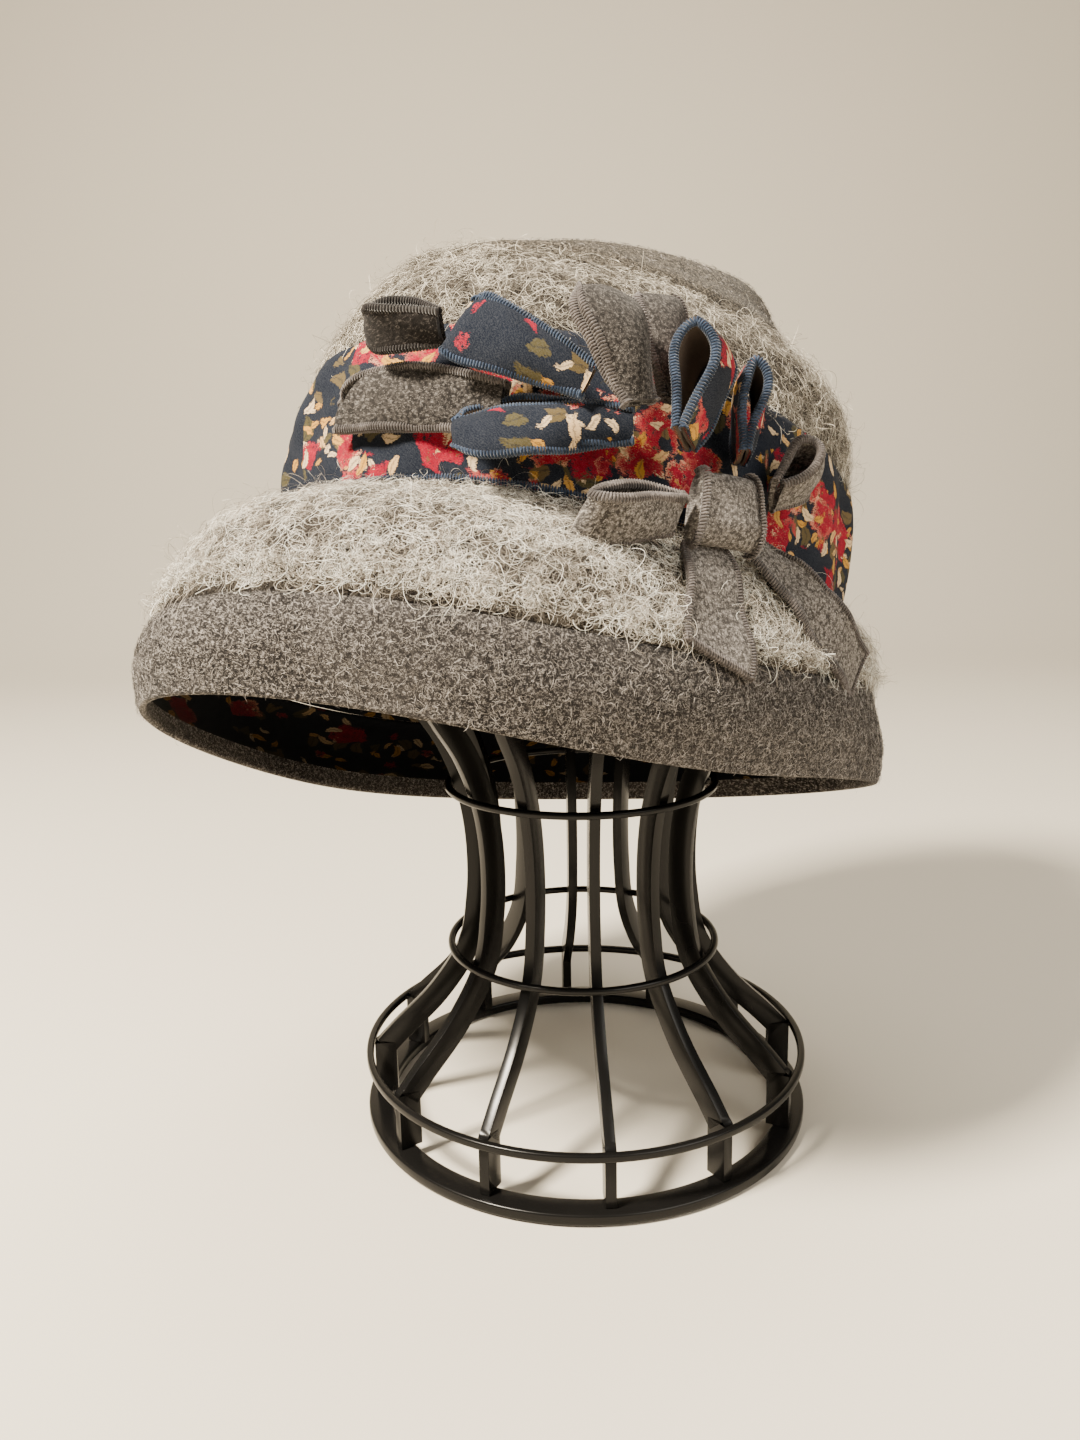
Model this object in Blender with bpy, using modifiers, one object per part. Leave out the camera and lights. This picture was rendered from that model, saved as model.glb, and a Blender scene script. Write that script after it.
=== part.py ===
"""A soft cloche hat with a draped band, ribbon loops and a bow, on a cage hat stand.

Metres, +Z up. The hat's front points to -Y and the wearer's left is +X. The hat leans back on the
stand. The origin is on the surface that the stand stands on, under the middle of the whole.
"""
import math

import bmesh
import bpy
import numpy as np
from mathutils import Matrix, Vector
from mathutils.bvhtree import BVHTree

MM = 0.001
GAP = 0.3 * MM            # between pieces that touch
COLUMNS = 40              # round the hat
BAND_COLUMNS = 64

# How the hat sits: the middle of its head opening, and its lean.
HAT_AT = Vector((-0.0074, 0.0130, 0.1885))
LEAN = 26.0               # degrees
HIGH_SIDE = 32.0          # degrees from the front towards the wearer's left

# Walls.
CLOTH_WALL = 2.4 * MM
LINING_WALL = 1.0 * MM
LINING_GAP = 0.4 * MM
BAND_WALL = 1.6 * MM
RIBBON_WALL = 1.6 * MM

# Sections of the hat's outer face, from the rim to the top of the crown, in mm.
# Each row: distance from the middle at front, left, back and right; height at the same four;
# and skew, which stretches the section along the front-left to back-right diagonal.
SECTION_COLUMNS = ("front", "left", "back", "right", "z_front", "z_left", "z_back", "z_right", "skew")
SECTIONS = {
    "rim":       (129.0, 100.0, 134.0, 107.0, -74.0, -69.0, -41.0, -69.0, 2.5),
    "strip_mid": (133.0, 106.0, 130.0, 110.0, -61.0, -55.0, -26.0, -53.0, 2.0),
    "seam":      (131.0, 106.0, 121.5, 107.5, -46.5, -39.5, -8.0, -36.5, 1.5),
    "brim_mid":  (121.0, 99.5, 117.0, 99.5, -19.0, -18.0, 1.0, -17.0, 0.5),
    "headline":  (97.6, 87.6, 104.0, 87.6, -3.5, -1.0, 4.5, -0.5, 1.5),
    "band_mid":  (99.0, 90.5, 103.0, 90.5, 21.0, 21.5, 26.0, 22.0, 2.5),
    "band_top":  (99.0, 91.5, 102.5, 91.5, 45.0, 44.5, 47.5, 45.0, 2.5),
    "shoulder":  (92.0, 85.0, 98.5, 84.0, 72.0, 68.0, 82.0, 75.0, 1.0),
    "tip_seam":  (76.0, 69.0, 78.0, 69.0, 94.0, 86.0, 114.0, 103.0, 0.0),
    "tip_ring":  (44.0, 46.0, 56.0, 42.0, 118.0, 118.0, 138.0, 125.0, 0.0),
    "tip_top":   (0.0, 0.0, 0.0, 0.0, 133.5, 133.5, 133.5, 133.5, 0.0),
}
BRIM_ROWS = ("headline", "brim_mid", "seam", "strip_mid", "rim")
CROWN_ROWS = ("headline", "band_mid", "band_top", "shoulder", "tip_seam", "tip_ring", "tip_top")

SEAM_GAP = 0.012          # of a row, on each side of a seam
BRIM_STEPS = 4            # rings of faces in each part of the brim
SIDE_STEPS = 6
TIP_STEPS = 5
JOIN = 0.01 * MM          # corners closer than this are one corner

# The draped band, from its foot to its top along the crown's rows, and its folds.
BAND_FOOT = 0.02
BAND_TOP = 1.97
BAND_STEPS = 5
FOLD_AT_EDGE = 0.25       # of a fold's height that is left at the band's edges
FOLD_ROUND = 0.6          # how full a fold is towards the edges, less is fuller
# Each row: angle from the front at the band's foot and at its top in degrees, height in mm,
# and half width in degrees.
BAND_FOLDS = (
    (-35.0, -18.0, 5.0, 6.0),
    (-12.0, 4.0, 4.0, 5.0),
    (25.0, 42.0, 2.0, 8.0),
    (70.0, 60.0, 2.0, 10.0),
    (122.0, 112.0, 2.5, 6.0),
    (136.0, 130.0, 3.0, 5.0),
    (158.0, 170.0, 2.5, 8.0),
    (190.0, 205.0, 4.0, 8.0),
    (222.0, 240.0, 4.5, 8.0),
    (262.0, 280.0, 4.0, 8.0),
    (298.0, 312.0, 4.5, 7.0),
)

# The ribbon loops, in the order they lie on each other. Each row: where the loop is caught down and
# where its far end is (angle from the front in degrees, and rows up the crown, or down the brim
# where negative), its width there and at the root, how far it stands open, and how far the strip
# leans from flat to edge-on; sizes in mm, angles in degrees.
LOOP_COLUMNS = ("name", "slot", "root_turn", "root_level", "tip_turn", "tip_level",
                "root_width", "width", "open", "lean")
LOOPS = (
    ("leaf_flap", "grey_felt", 45.0, 0.78, 16.5, 1.06, 14.0, 24.0, 4.0, 10.0),
    ("floral_twist", "floral_cotton", 64.0, 0.80, 38.0, 0.42, 10.0, 19.0, 6.0, 20.0),
    ("small_loop", "grey_felt", 36.5, 1.46, 24.0, 1.55, 10.0, 14.0, 9.0, 40.0),
    ("tall_loop", "grey_felt", 69.5, 1.30, 64.5, 2.50, 10.0, 20.0, 6.0, -20.0),
    ("floral_front_loop", "floral_cotton", 57.0, 1.05, 37.0, 1.55, 10.0, 22.0, 7.0, 12.0),
    ("large_loop", "grey_felt", 63.0, 0.85, 54.0, 1.95, 11.0, 25.0, 9.0, -28.0),
    ("floral_back_loop", "floral_cotton", 83.0, 0.92, 82.0, 1.94, 12.0, 18.0, 8.0, -60.0),
    ("floral_upright_loop", "floral_cotton", 70.0, 0.70, 71.3, 1.90, 14.0, 20.0, 11.0, -60.0),
    ("bow_loop_front", "grey_felt", 73.0, -0.45, 57.5, -0.72, 12.0, 19.0, 11.0, 42.0),
    ("bow_loop_back", "grey_felt", 91.5, 0.66, 98.0, 1.34, 12.0, 18.0, 12.0, -38.0),
)
LOOP_STEPS = 16
LOOP_ARCH = 0.04          # of a loop's length, how far its middle bows out
START_OFF = 8.0 * MM      # off the hat, where a piece is shaped before it is laid down
LAY_GAP = 0.5 * MM
LAY_REACH = 80.0 * MM     # how far a piece is looked under when it is laid down
KNOT_COLUMNS = ("turn", "level", "across", "tall", "deep")
KNOT = (80.5, 0.17, 20.5, 19.5, 9.0)
KNOT_ROUND = 3.2 * MM
KNOT_UP = 0.1             # of a row, how far above its middle the knot's up is taken
# The bow's tails, down over the band's foot and the brim. Each row: angle from the front, rows up
# the crown or down the brim, half width in mm, height off the hat in mm, and tilt in degrees.
TAIL_COLUMNS = ("turn", "level", "half_width", "lift", "tilt")
TAILS = {
    "bow_tail_front": (
        (79.8, -0.62, 9.0, 4.0, 0.0),
        (80.0, -0.95, 10.5, 3.0, 0.0),
        (80.6, -1.40, 11.5, 1.9, 0.0),
        (81.2, -1.90, 12.0, 1.5, 0.0),
        (81.5, -2.15, 12.0, 1.5, 0.0),
    ),
    "bow_tail_back": (
        (93.5, -0.30, 8.5, 6.5, 8.0),
        (97.5, -0.70, 9.5, 6.0, 16.0),
        (103.5, -1.15, 10.5, 5.2, 16.0),
        (111.5, -1.60, 10.5, 3.6, 9.0),
        (119.0, -1.98, 9.5, 1.8, 2.0),
    ),
}

# The stand.
STAND_AT = Vector((0.0044, 0.0139))
RIB_COUNT = 12
RIB_TURN = 1.0            # degrees, where the first rib stands
RIB_WIDTH = 3.6 * MM
RIB_DEPTH = 8.0 * MM
BASE_HEIGHT = 4.0 * MM
BASE_OUTER = 82.0 * MM
BASE_INNER = 73.0 * MM
HOOP_STEPS = 24
DISC_INNER = 6.0 * MM
DISC_THICK = 6.0 * MM
# The ribs' outer edge, from the base ring up to the top: distance from the axis and height, in mm.
RIB_PROFILE = (
    (79.0, 4.3),
    (79.0, 24.0),
    (71.5, 32.0),
    (57.5, 46.0),
    (46.4, 63.0),
    (43.0, 80.0),
    (42.2, 95.0),
    (43.2, 110.0),
    (46.0, 123.0),
    (52.0, 138.0),
    (62.0, 154.0),
    (69.5, 172.0),
    (71.0, 190.0),
    (68.2, 212.0),
    (61.5, 236.0),
    (50.0, 258.0),
    (36.0, 276.0),
    (18.0, 286.0),
)
# Hoops round the ribs: name, height of the middle, and how tall and how thick each is, in mm.
HOOPS = (
    ("base_hoop", 23.0, 3.0, 2.6),
    ("lower_hoop", 63.0, 2.4, 2.6),
    ("upper_hoop", 123.0, 2.4, 2.6),
)

# Colours, as the photograph shows them: red, green, blue, roughness.
COLOURS = {
    "mohair": (0.30, 0.27, 0.24, 0.95),
    "grey_felt": (0.16, 0.15, 0.145, 0.95),
    "floral_cotton": (0.09, 0.045, 0.06, 0.85),
    "black_plastic": (0.012, 0.012, 0.012, 0.22),
}


def around(row, t):
    """Distance and height of one section at the angles t, smooth through its four sides."""
    value = dict(zip(SECTION_COLUMNS, row))

    def loop(front, left, back, right):
        mean = (front + left + back + right) / 4
        sway = (front - back) / 2 * np.cos(t) + (left - right) / 2 * np.sin(t)
        return mean + sway + (front + back - left - right) / 4 * np.cos(2 * t)

    reach = loop(value["front"], value["left"], value["back"], value["right"])
    reach = reach + value["skew"] * np.sin(2 * t)
    height = loop(value["z_front"], value["z_left"], value["z_back"], value["z_right"])
    return reach * MM, height * MM


def section_points(name, t):
    reach, height = around(SECTIONS[name], t)
    return np.stack([reach * np.sin(t), -reach * np.cos(t), height], -1)


def along(rows, t, s):
    """Points of the outer face at the angles t, s rows along a chain of sections."""
    chain = [section_points(name, t) for name in rows]
    k = max(0, min(int(s), len(rows) - 2))
    f = s - k
    a = chain[k]
    b = chain[k + 1]
    before = chain[k - 1] if k > 0 else 2 * a - b
    after = chain[k + 2] if k + 2 < len(rows) else 2 * b - a
    if k + 2 == len(rows) and rows[-1] == "tip_top":
        after = section_points(rows[-2], t + math.pi)
    ma = (b - before) / 2
    mb = (after - a) / 2
    return ((2 * f**3 - 3 * f**2 + 1) * a + (f**3 - 2 * f**2 + f) * ma
            + (-2 * f**3 + 3 * f**2) * b + (f**3 - f**2) * mb)


def face_and_normal(rows, t, s):
    """Points of the outer face and the directions that point out of the hat there."""
    step = 0.01
    top = len(rows) - 1
    up = along(rows, t, min(s + step, top)) - along(rows, t, max(s - step, 0))
    turn = along(rows, t + step, s) - along(rows, t - step, s)
    normal = np.cross(turn, up)
    size = np.linalg.norm(normal, axis=-1, keepdims=True)
    normal = np.where(size > 1e-9, normal / np.maximum(size, 1e-12), (0.0, 0.0, 1.0))
    if rows is BRIM_ROWS:
        normal = -normal
    return along(rows, t, s), normal


def place_on_stand():
    """The matrix that leans the hat and lifts it onto the stand."""
    high = math.radians(HIGH_SIDE)
    turn = Matrix.Rotation(high, 4, "Z")
    lean = turn @ Matrix.Rotation(-math.radians(LEAN), 4, "X") @ turn.inverted()
    return Matrix.Translation(HAT_AT) @ lean


def material(name):
    red, green, blue, roughness = COLOURS[name]
    made = bpy.data.materials.get(name) or bpy.data.materials.new(name)
    made.use_nodes = True
    shader = made.node_tree.nodes["Principled BSDF"]
    shader.inputs["Base Color"].default_value = (red, green, blue, 1.0)
    shader.inputs["Roughness"].default_value = roughness
    return made


def keep(name, mesh, slot, matrix=None):
    """Add a mesh to the hat's collection as one named piece."""
    if matrix is not None:
        mesh.transform(matrix)
    mesh.materials.append(material(slot))
    piece = bpy.data.objects.new(name, mesh)
    COLLECTION.objects.link(piece)
    return piece


def clear_scene():
    for old in list(bpy.data.objects):
        bpy.data.objects.remove(old, do_unlink=True)


def wall_loft(name, outer, inner, slot, closed_top=False):
    """A wall between two stacks of closed loops, joined along both edges.

    Where each stack ends in one point, closed_top keeps the two points apart.
    """
    shape = bmesh.new()
    grid = []
    for stack in (outer, inner[::-1]):
        for loop in stack:
            grid.append([shape.verts.new(point) for point in loop])
    count = len(grid[0])
    joins = list(zip(grid, grid[1:] + grid[:1]))
    if closed_top:
        del joins[len(outer) - 1]
    for a, b in joins:
        for i in range(count):
            j = (i + 1) % count
            shape.faces.new((a[i], a[j], b[j], b[i]))
    bmesh.ops.remove_doubles(shape, verts=shape.verts, dist=JOIN)
    bmesh.ops.recalc_face_normals(shape, faces=shape.faces)
    mesh = bpy.data.meshes.new(name)
    shape.to_mesh(mesh)
    shape.free()
    mesh.shade_smooth()
    return keep(name, mesh, slot, place_on_stand())


def shell(name, runs, lift_out, lift_in, slot, closed_top=False):
    """A wall of the hat along (chain, start, end, steps) runs, between two lifts off the outer face."""
    t = np.linspace(0, 2 * math.pi, COLUMNS, endpoint=False)
    outer = []
    inner = []
    for rows, start, end, steps in runs:
        for s in np.linspace(start, end, steps + 1):
            point, normal = face_and_normal(rows, t, s)
            outer.append(point + normal * lift_out)
            inner.append(point + normal * lift_in)
    return wall_loft(name, outer, inner, slot, closed_top)


def band_lift(t, v):
    """How far the draped band's face stands off the crown, at the angle t and from foot to top v."""
    lift = np.zeros_like(t)
    for foot, top, high, half_width in BAND_FOLDS:
        middle = math.radians(foot) * (1 - v) + math.radians(top) * v
        off = np.arctan2(np.sin(t - middle), np.cos(t - middle)) / math.radians(half_width)
        lift = np.maximum(lift, high * np.exp(-off ** 2))
    full = math.sin(math.pi * v) ** FOLD_ROUND if 0 < v < 1 else 0.0
    return GAP + BAND_WALL + lift * MM * (FOLD_AT_EDGE + (1 - FOLD_AT_EDGE) * full)


def make_band():
    t = np.linspace(0, 2 * math.pi, BAND_COLUMNS, endpoint=False)
    outer = []
    inner = []
    for v in np.linspace(0, 1, BAND_STEPS + 1):
        s = BAND_FOOT + (BAND_TOP - BAND_FOOT) * v
        point, normal = face_and_normal(CROWN_ROWS, t, s)
        lift = band_lift(t, v)[:, None]
        outer.append(point + normal * lift)
        inner.append(point + normal * (lift - BAND_WALL))
    return wall_loft("hat_band", outer, inner, "floral_cotton")


def make_hat_body():
    seam = BRIM_ROWS.index("seam")
    rim = BRIM_ROWS.index("rim")
    tip = CROWN_ROWS.index("tip_seam")
    top = CROWN_ROWS.index("tip_top")
    cloth = (0.0, -CLOTH_WALL)
    inside = (-CLOTH_WALL - LINING_GAP, -CLOTH_WALL - LINING_GAP - LINING_WALL)
    upper = shell("brim_upper", [(BRIM_ROWS, SEAM_GAP, seam - SEAM_GAP, BRIM_STEPS)], *cloth, "mohair")
    edge = shell("brim_edge", [(BRIM_ROWS, seam + SEAM_GAP, rim, BRIM_STEPS)], *cloth, "grey_felt")
    in_side = (CROWN_ROWS, SEAM_GAP, tip - SEAM_GAP, SIDE_STEPS)
    in_tip = (CROWN_ROWS, tip + SEAM_GAP, top, TIP_STEPS)
    side = shell("crown_side", [in_side], *cloth, "mohair")
    shell("crown_tip", [in_tip], *cloth, "grey_felt", True)
    under_brim = (BRIM_ROWS, seam - SEAM_GAP, SEAM_GAP, BRIM_STEPS)
    shell("lining", [under_brim, in_side, in_tip], *inside, "floral_cotton", True)
    return [upper, edge, side]


def on_hat(turn, level, lift):
    """A point off the hat's face and the direction out of the hat there; the brim is below zero."""
    t = np.array([math.radians(turn)])
    rows = CROWN_ROWS if level >= 0 else BRIM_ROWS
    point, normal = face_and_normal(rows, t, abs(level))
    return Vector(point[0] + normal[0] * lift), Vector(normal[0])


def crown_way_out(turn, level):
    """The direction out of the crown, also for a place below its foot."""
    return on_hat(turn, max(level, 0.0), 0.0)[1]


def strip_mesh(name, middles, sides, faces_out, half_widths):
    """A closed strip of ribbon along its middle line, with a square section."""
    shape = bmesh.new()
    rows = []
    for middle, side, out, half in zip(middles, sides, faces_out, half_widths):
        thick = out * (RIBBON_WALL / 2)
        across = side * half
        corners = (middle - across - thick, middle + across - thick,
                   middle + across + thick, middle - across + thick)
        rows.append([shape.verts.new(corner) for corner in corners])
    for a, b in zip(rows, rows[1:]):
        for i in range(4):
            j = (i + 1) % 4
            shape.faces.new((a[i], b[i], b[j], a[j]))
    shape.faces.new(rows[0])
    shape.faces.new(rows[-1][::-1])
    bmesh.ops.recalc_face_normals(shape, faces=shape.faces)
    mesh = bpy.data.meshes.new(name)
    shape.to_mesh(mesh)
    shape.free()
    return mesh


def tree_of(meshes):
    """One search tree over the faces of several meshes."""
    corners = []
    faces = []
    for mesh in meshes:
        start = len(corners)
        corners.extend(vertex.co.copy() for vertex in mesh.vertices)
        faces.extend([start + i for i in face.vertices] for face in mesh.polygons)
    return BVHTree.FromPolygons(corners, faces)


def probes(mesh):
    """The corners of a mesh and points along its edges."""
    points = [vertex.co.copy() for vertex in mesh.vertices]
    for edge in mesh.edges:
        a = mesh.vertices[edge.vertices[0]].co
        b = mesh.vertices[edge.vertices[1]].co
        points.extend((a.lerp(b, 0.25), a.lerp(b, 0.5), a.lerp(b, 0.75)))
    return points


def lay_down(mesh, out, under):
    """Bring a piece in along -out until it lies a gap off what is under it."""
    below = tree_of(under)
    own = tree_of([mesh])
    room = LAY_REACH
    for point in probes(mesh):
        hit = below.ray_cast(point + out * LAY_REACH, -out)
        if hit[0] is not None:
            room = min(room, hit[3] - LAY_REACH)
    for other in under:
        for point in probes(other):
            hit = own.ray_cast(point - out * LAY_REACH, out)
            if hit[0] is not None and hit[3] < 2 * LAY_REACH:
                room = min(room, hit[3] - LAY_REACH)
    mesh.transform(Matrix.Translation(-out * (room - LAY_GAP)))


def loop_mesh(row):
    """A loop of ribbon that leaves its root, turns at its tip and comes back over itself."""
    value = dict(zip(LOOP_COLUMNS, row))
    root = on_hat(value["root_turn"], value["root_level"], START_OFF)[0]
    tip = on_hat(value["tip_turn"], value["tip_level"], START_OFF)[0]
    run = tip - root
    length = run.length
    run.normalize()
    out = crown_way_out(value["root_turn"], value["root_level"])
    out = out + crown_way_out(value["tip_turn"], value["tip_level"])
    out = (out - run * out.dot(run)).normalized()
    side = run.cross(out)
    lean = math.radians(value["lean"])
    across = side * math.cos(lean) + out * math.sin(lean)
    opening = out * math.cos(lean) - side * math.sin(lean)
    middles = []
    halves = []
    for i in range(LOOP_STEPS + 1):
        u = i / LOOP_STEPS
        turn = 2 * math.pi * u
        reach = (1 - math.cos(turn)) / 2
        swell = -math.sin(turn) * reach ** 0.5 * value["open"] * MM / 2
        apart = -(1 - 2 * u) * (RIBBON_WALL / 2 + GAP)
        bow = math.sin(math.pi * reach) * LOOP_ARCH * length
        middles.append(root + run * length * reach + opening * (swell + apart) + out * bow)
        width = value["root_width"] * (1 - reach) + value["width"] * reach
        halves.append(width * MM / 2)
    sides = [across] * len(middles)
    faces_out = []
    for i in range(len(middles)):
        along_strip = middles[min(i + 1, LOOP_STEPS)] - middles[max(i - 1, 0)]
        faces_out.append(along_strip.cross(across).normalized())
    return strip_mesh(value["name"], middles, sides, faces_out, halves), out


def knot_mesh():
    """The bow's knot: a pad of felt wrapped round its middle."""
    value = dict(zip(KNOT_COLUMNS, KNOT))
    middle, out = on_hat(value["turn"], value["level"], START_OFF)
    above = on_hat(value["turn"], value["level"] + KNOT_UP, START_OFF)[0]
    up = above - middle
    up = (up - out * up.dot(out)).normalized()
    right = up.cross(out)
    shape = bmesh.new()
    bmesh.ops.create_cube(shape, size=1.0)
    size = Matrix.Diagonal((value["across"] * MM, value["tall"] * MM, value["deep"] * MM, 1.0))
    bmesh.ops.transform(shape, matrix=size, verts=shape.verts)
    bmesh.ops.bevel(shape, geom=shape.edges[:], offset=KNOT_ROUND, segments=2, profile=0.5,
                    affect="EDGES", clamp_overlap=True)
    place = Matrix((right, up, out)).transposed().to_4x4()
    place.translation = middle
    shape.transform(place)
    mesh = bpy.data.meshes.new("bow_knot")
    shape.to_mesh(mesh)
    shape.free()
    return mesh, out


def tail_mesh(name):
    middles = []
    sides = []
    faces_out = []
    halves = []
    for row in TAILS[name]:
        value = dict(zip(TAIL_COLUMNS, row))
        point, out = on_hat(value["turn"], value["level"], value["lift"] * MM)
        ahead = on_hat(value["turn"] + 1, value["level"], value["lift"] * MM)[0]
        side = (ahead - point).normalized()
        tilt = math.radians(value["tilt"])
        middles.append(point)
        sides.append(side * math.cos(tilt) + out * math.sin(tilt))
        faces_out.append(out * math.cos(tilt) - side * math.sin(tilt))
        halves.append(value["half_width"] * MM)
    return strip_mesh(name, middles, sides, faces_out, halves)


def make_trimmings(band):
    """Lay the ribbons on the band and on each other, in the order they are sewn."""
    on_stand = place_on_stand()
    off_stand = on_stand.inverted()
    pile = []
    for piece in band:
        under = piece.data.copy()
        under.transform(off_stand)
        pile.append(under)
    tails = [tail_mesh(name) for name in TAILS]
    placed = [("grey_felt", mesh) for mesh in tails]
    pile.extend(tails)
    knot, out = knot_mesh()
    lay_down(knot, out, pile)
    pile.append(knot)
    placed.append(("grey_felt", knot))
    for row in LOOPS:
        mesh, out = loop_mesh(row)
        lay_down(mesh, out, pile)
        pile.append(mesh)
        placed.append((row[1], mesh))
    for slot, mesh in placed:
        keep(mesh.name, mesh, slot, on_stand)
    for mesh in pile[:len(band)]:
        bpy.data.meshes.remove(mesh)


def rib_outline():
    """The outline of one rib in its own plane: its outer edge up, and its inner edge down."""
    outer = [Vector((radius, height)) * MM for radius, height in RIB_PROFILE]
    inner = []
    for i, point in enumerate(outer):
        before = outer[max(i - 1, 0)]
        after = outer[min(i + 1, len(outer) - 1)]
        inward = Vector((before.y - after.y, after.x - before.x)).normalized()
        if i == 0:
            inward = Vector((-1.0, 0.0))
        if i == len(outer) - 1:
            inward = Vector((0.0, -1.0))
        inner.append(point + inward * RIB_DEPTH)
    return outer + inner[::-1]


def make_ribs():
    for number in range(RIB_COUNT):
        name = f"rib_{number + 1:02d}"
        flat = bpy.data.curves.new(name, "CURVE")
        flat.dimensions = "2D"
        flat.fill_mode = "BOTH"
        flat.extrude = RIB_WIDTH / 2
        outline = rib_outline()
        spline = flat.splines.new("POLY")
        spline.points.add(len(outline) - 1)
        for point, place in zip(spline.points, outline):
            point.co = (place.x, place.y, 0.0, 1.0)
        spline.use_cyclic_u = True
        flat.materials.append(material("black_plastic"))
        rib = bpy.data.objects.new(name, flat)
        turn = math.radians(RIB_TURN + number * 360 / RIB_COUNT)
        stand_up = Matrix.Rotation(math.radians(90), 4, "X")
        rib.matrix_world = Matrix.Translation((*STAND_AT, 0.0)) @ Matrix.Rotation(turn, 4, "Z") @ stand_up
        COLLECTION.objects.link(rib)


def rib_reach(height):
    """How far the ribs' outer edge is from the stand's axis at one height."""
    heights = [row[1] * MM for row in RIB_PROFILE]
    reaches = [row[0] * MM for row in RIB_PROFILE]
    return float(np.interp(height, heights, reaches))


def hoop(name, inner, outer, low, high):
    """A flat hoop on the stand's axis, turned from its square section."""
    mesh = bpy.data.meshes.new(name)
    corners = [(outer, 0, high), (outer, 0, low), (inner, 0, low), (inner, 0, high)]
    mesh.from_pydata(corners, [(0, 1), (1, 2), (2, 3), (3, 0)], [])
    piece = keep(name, mesh, "black_plastic")
    piece.location = (*STAND_AT, 0.0)
    piece.rotation_euler.z = math.radians(RIB_TURN)
    turned = piece.modifiers.new("turned", "SCREW")
    turned.axis = "Z"
    turned.angle = 2 * math.pi
    turned.screw_offset = 0.0
    turned.steps = HOOP_STEPS
    turned.render_steps = HOOP_STEPS
    turned.use_merge_vertices = True
    turned.merge_threshold = JOIN
    return piece


def make_stand():
    make_ribs()
    hoop("base_ring", BASE_INNER, BASE_OUTER, 0.0, BASE_HEIGHT)
    for name, height, tall, thick in HOOPS:
        low = (height - tall / 2) * MM
        high = (height + tall / 2) * MM
        inner = max(rib_reach(low), rib_reach(high)) + GAP
        hoop(name, inner, inner + thick * MM, low, high)
    reach, top = RIB_PROFILE[-1]
    hoop("top_disc", DISC_INNER, reach * MM - GAP, top * MM - DISC_THICK, top * MM)


def main():
    clear_scene()
    body = make_hat_body()
    band = make_band()
    make_trimmings([band] + body)
    make_stand()


COLLECTION = bpy.data.collections.new("cloche_hat")
bpy.context.scene.collection.children.link(COLLECTION)
main()
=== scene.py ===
import math

import bmesh
import bpy
import numpy as np
from mathutils import Matrix, Vector


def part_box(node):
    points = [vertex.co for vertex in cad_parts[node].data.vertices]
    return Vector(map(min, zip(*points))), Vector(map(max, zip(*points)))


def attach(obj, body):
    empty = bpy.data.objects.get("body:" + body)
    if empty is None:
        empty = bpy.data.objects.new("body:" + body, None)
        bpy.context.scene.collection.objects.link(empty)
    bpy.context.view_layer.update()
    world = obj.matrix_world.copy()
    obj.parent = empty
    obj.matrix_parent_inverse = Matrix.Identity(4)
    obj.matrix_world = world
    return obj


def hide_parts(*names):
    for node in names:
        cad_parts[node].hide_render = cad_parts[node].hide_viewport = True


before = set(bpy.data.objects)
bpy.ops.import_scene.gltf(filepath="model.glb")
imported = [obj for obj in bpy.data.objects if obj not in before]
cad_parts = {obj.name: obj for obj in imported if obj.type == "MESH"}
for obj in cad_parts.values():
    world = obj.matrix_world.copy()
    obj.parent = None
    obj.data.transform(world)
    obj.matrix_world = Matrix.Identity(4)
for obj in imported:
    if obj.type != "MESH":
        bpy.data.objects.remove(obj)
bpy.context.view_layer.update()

MM = 0.001

# The view: a hand-held phone in front of the wearer's left, a little above the brim and looking
# slightly down, turned so that the stand leans a degree in the picture.
CAMERA_AT = (0.3177, -0.2035, 0.2206)
CAMERA_TURN = 57.4        # degrees, from the hat's front towards the wearer's left
CAMERA_DOWN = 11.2
CAMERA_ROLL = -1.15
LENS = 27.0
FRAME_TALL = 36.0         # mm
NEAREST = 0.01


def in_scene(name, data):
    thing = bpy.data.objects.new(name, data)
    bpy.context.scene.collection.objects.link(thing)
    return thing


lens = bpy.data.cameras.new("camera")
lens.lens = LENS
lens.sensor_width = FRAME_TALL
lens.clip_start = NEAREST
camera = in_scene("camera", lens)
camera.matrix_world = (Matrix.Translation(CAMERA_AT)
                       @ Matrix.Rotation(math.radians(CAMERA_TURN), 4, "Z")
                       @ Matrix.Rotation(math.radians(90 - CAMERA_DOWN), 4, "X")
                       @ Matrix.Rotation(math.radians(CAMERA_ROLL), 4, "Z"))
bpy.context.scene.camera = camera

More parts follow.
